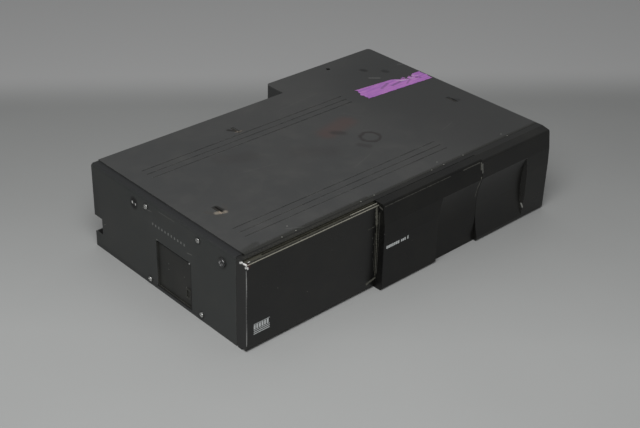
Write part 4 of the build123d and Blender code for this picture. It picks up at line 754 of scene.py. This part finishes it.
platedLook = {"colour": (0.50, 0.51, 0.49), "shade": (0.42, 0.43, 0.42), "metallic": 1.0, "roughness": 0.34,
              "roughSpread": 0.1, "grain": 0.4, "cloudScale": 60.0, "dust": 0.06}
dress(finish("zincPlatedSheet", platedLook), "mech_chassis", "magazine_guide", "lift_top_frame",
      "deck_frame", "clamp_arm")
dress(finish("groundSteel", dict(platedLook, colour=(0.62, 0.62, 0.62), roughness=0.18)),
      "lift_posts", "sled_rods", "clamp_pin", "lift_screw", "sled_screw")
dress(finish("drawnSteelCan", dict(platedLook, roughness=0.28)), "lift_motor", "spindle_motor", "sled_motor")
dress(finish("turnedBrass", dict(platedLook, colour=(0.55, 0.38, 0.15), shade=(0.48, 0.32, 0.12),
                                 roughness=0.25)),
      "deck_bushes", "lift_nut", "board_standoffs")
dress(finish("extrudedAluminium", dict(platedLook, colour=(0.6, 0.6, 0.61), roughness=0.38)), "heat_sink")
dress(finish("damperRubber", {"colour": (0.02, 0.02, 0.02), "roughness": 0.7, "grain": 1.0}), "mech_dampers")
magazineLook = {"colour": (0.018, 0.018, 0.019), "shade": (0.024, 0.024, 0.024), "roughness": 0.5,
                "grain": 1.4, "grainScale": 1500.0, "bump": 0.3, "dust": 0.06,
                "dustColour": (0.12, 0.12, 0.11)}
dress(finish("magazinePlastic", magazineLook,
             edge={"radius": 0.0005, "amount": 0.5, "colour": (0.07, 0.07, 0.07), "strength": 0.6}),
      "magazine_shell")
dress(finish("trayPlastic", dict(magazineLook, colour=(0.10, 0.10, 0.105), shade=(0.12, 0.12, 0.12))),
      "disc_trays")
dress(finish("naturalAcetal", {"colour": (0.68, 0.66, 0.58), "shade": (0.62, 0.60, 0.53), "roughness": 0.42,
                               "grain": 0.4, "cloudScale": 80.0}),
      "lift_gear", "motor_pinion", "eject_stem_guide", "sled_screw_bearing", "turntable", "clamper")
dress(finish("sledPlastic", dict(magazineLook, colour=(0.03, 0.03, 0.032))), "pickup_sled")
dress(finish("socketPlastic", dict(magazineLook, colour=(0.012, 0.012, 0.012), roughness=0.4)), "din_socket")
dress(finish("mouldedEpoxy", dict(magazineLook, colour=(0.014, 0.014, 0.014))), "board_chips",
      "power_transistors", "eject_switch")
dress(finish("shrinkSleeve", {"colour": (0.015, 0.017, 0.04), "roughness": 0.25, "grain": 0.3}),
      "board_capacitors")
dress(finish("solderMask", {"colour": (0.02, 0.09, 0.035), "shade": (0.03, 0.12, 0.05), "roughness": 0.3,
                            "grain": 0.8, "grainScale": 700.0, "cloudScale": 240.0}), "main_board")


discLook = {"centre": (218.5, 77.0, 0), "spokes": 6.0, "roughness": 0.08, "cool": (0.62, 0.66, 0.72),
            "warm": (0.72, 0.68, 0.62)}
lensLook = {"cool": (0.45, 0.55, 0.85), "warm": (0.6, 0.45, 0.8), "cloudScale": 300.0, "roughness": 0.05,
            "clear": 0.8}


# Mirror metal whose hue follows the sine of six times the angle round the spindle.
def discMaterial():
    material, tree, shader, coords = newMaterial("pressedDisc")
    split = addNode(tree, "ShaderNodeSeparateXYZ", {0: coords})
    centre = place(*discLook["centre"])
    angle = calc(tree, "ARCTAN2", calc(tree, "SUBTRACT", split.outputs[1], centre[1]),
                 calc(tree, "SUBTRACT", split.outputs[0], centre[0]))
    sweep = calc(tree, "SINE", calc(tree, "MULTIPLY", angle, discLook["spokes"]))
    colour = mixColour(tree, ramp(tree, sweep, -1.0, 1.0), (*discLook["cool"], 1), (*discLook["warm"], 1))
    tree.links.new(colour, shader.inputs["Base Color"])
    shader.inputs["Metallic"].default_value = 1.0
    shader.inputs["Roughness"].default_value = discLook["roughness"]
    return material


# Clear lens whose coating drifts between two tints with noise.
def lensMaterial():
    material, tree, shader, coords = newMaterial("coatedLens")
    cloud = noiseOut(tree, coords, lensLook["cloudScale"])
    tint = mixColour(tree, cloud, (*lensLook["cool"], 1), (*lensLook["warm"], 1))
    tree.links.new(tint, shader.inputs["Base Color"])
    shader.inputs["Roughness"].default_value = lensLook["roughness"]
    shader.inputs["Transmission Weight"].default_value = lensLook["clear"]
    return material


dress(discMaterial(), "discs")
dress(lensMaterial(), "objective_lens")
print("inside dressed")


stageLook = {
    "size": 14.0, "ahead": (0.6879, 0.7258),     # the way the camera looks, along the floor
    # Painted light: the floor's tone falls off with distance ahead of the camera.
    "paintedLight": [(-0.42, 0.34), (-0.20, 0.365), (0.00, 0.31), (0.28, 0.25)],   # how far ahead, and how pale
    "cloudScale": 5.0, "cloud": 0.03, "green": 1.012, "roughness": 0.6,
    "farWay": (0.608, 0.794), "farFrom": 0.31, "farSoft": 0.05, "far": 0.40,   # pale again past a soft line
}
lampLook = {                                     # spot, aim, side and power
    "keyLamp": ((-0.62, -0.50, 1.06), (-0.1, -0.1, 0), 0.8, 13.5),
    "fillLamp": ((0.6, 0.6, 2.4), (0, 0, 0), 1.8, 4),
}
skyLook = {"colour": (0.62, 0.63, 0.63), "strength": 0.42}
cameraLook = {"eye": (-523.02, -637.33, 630.45), "turn": -0.758790226, "tilt": 0.538664746,
              "roll": 0.0311056266, "focal": 1216.4364, "picture": 640,     # focal and picture in pixels
              "sensor": 36, "clip": 0.01}


# One plain sheet: its tone follows straight runs ahead of the camera as painted light, darker further ahead,
# with faint clouds, and is paler again past a soft line.
def makeFloor():
    half = stageLook["size"] / 2
    mesh = bpy.data.meshes.new("floor")
    mesh.from_pydata([(-half, -half, 0), (half, -half, 0), (half, half, 0), (-half, half, 0)], [],
                     [(0, 1, 2, 3)])
    material, tree, shader, coords = newMaterial("paleFloor")
    ahead = vecCalc(tree, "DOT_PRODUCT", coords, (*stageLook["ahead"], 0), output="Value")
    last, tone = stageLook["paintedLight"][0]
    value = tone
    for distance, pale in stageLook["paintedLight"][1:]:
        inputs = {"Value": ahead, "From Min": last, "From Max": distance, "To Min": 0.0,
                  "To Max": pale - tone}
        value = calc(tree, "ADD", addNode(tree, "ShaderNodeMapRange", inputs).outputs[0], value)
        last, tone = distance, pale
    cloud = calc(tree, "SUBTRACT", noiseOut(tree, coords, stageLook["cloudScale"], 3.0), 0.5)
    value = calc(tree, "ADD", value, calc(tree, "MULTIPLY", cloud, stageLook["cloud"]))
    green = calc(tree, "MULTIPLY", value, stageLook["green"])
    grey = addNode(tree, "ShaderNodeCombineColor", {0: value, 1: green, 2: value})
    farWay = vecCalc(tree, "DOT_PRODUCT", coords, (*stageLook["farWay"], 0), output="Value")
    line, soft = stageLook["farFrom"], stageLook["farSoft"]
    beyond = ramp(tree, farWay, line - soft, line + soft)
    colour = mixColour(tree, beyond, grey.outputs[0], (*[stageLook["far"]] * 3, 1))
    tree.links.new(colour, shader.inputs["Base Color"])
    shader.inputs["Roughness"].default_value = stageLook["roughness"]
    mesh.materials.append(material)
    floor = bpy.data.objects.new("floor", mesh)
    bpy.context.scene.collection.objects.link(floor)


def makeLamp(name, spot, aim, size, power):
    lamp = bpy.data.lights.new(name, "AREA")
    lamp.shape = "RECTANGLE"
    lamp.size = lamp.size_y = size
    lamp.energy = power
    holder = bpy.data.objects.new(name, lamp)
    holder.location = spot
    holder.rotation_euler = (Vector(aim) - Vector(spot)).to_track_quat("-Z", "Y").to_euler()
    bpy.context.scene.collection.objects.link(holder)


def makeSky():
    world = bpy.data.worlds.new("studio")
    bpy.context.scene.world = world
    world.use_nodes = True
    background = world.node_tree.nodes["Background"]
    background.inputs["Color"].default_value = (*skyLook["colour"], 1)
    background.inputs["Strength"].default_value = skyLook["strength"]


# Solved from the case's edges: the eye in millimetres on the case, then the view's turn, tilt and roll.
def makeCamera():
    turn, tilt, roll = cameraLook["turn"], cameraLook["tilt"], cameraLook["roll"]
    back = Vector((sin(turn) * cos(tilt), -cos(turn) * cos(tilt), sin(tilt)))
    level = (-back).cross(Vector((0, 0, 1))).normalized()
    rise = level.cross(-back)
    right = level * cos(roll) + rise * sin(roll)
    up = rise * cos(roll) - level * sin(roll)
    lens = bpy.data.cameras.new("camera")
    lens.sensor_width = cameraLook["sensor"]
    lens.lens = cameraLook["sensor"] * cameraLook["focal"] / cameraLook["picture"]
    lens.clip_start = cameraLook["clip"]
    holder = bpy.data.objects.new("camera", lens)
    turned = Matrix((right, up, back)).transposed().to_4x4()
    holder.matrix_world = Matrix.Translation(place(*cameraLook["eye"])) @ turned
    bpy.context.scene.collection.objects.link(holder)
    bpy.context.scene.camera = holder


makeFloor()
for lampName, look in lampLook.items():
    makeLamp(lampName, *look)
makeCamera()
makeSky()
bpy.context.scene.view_settings.view_transform = "Standard"
print("stage set")
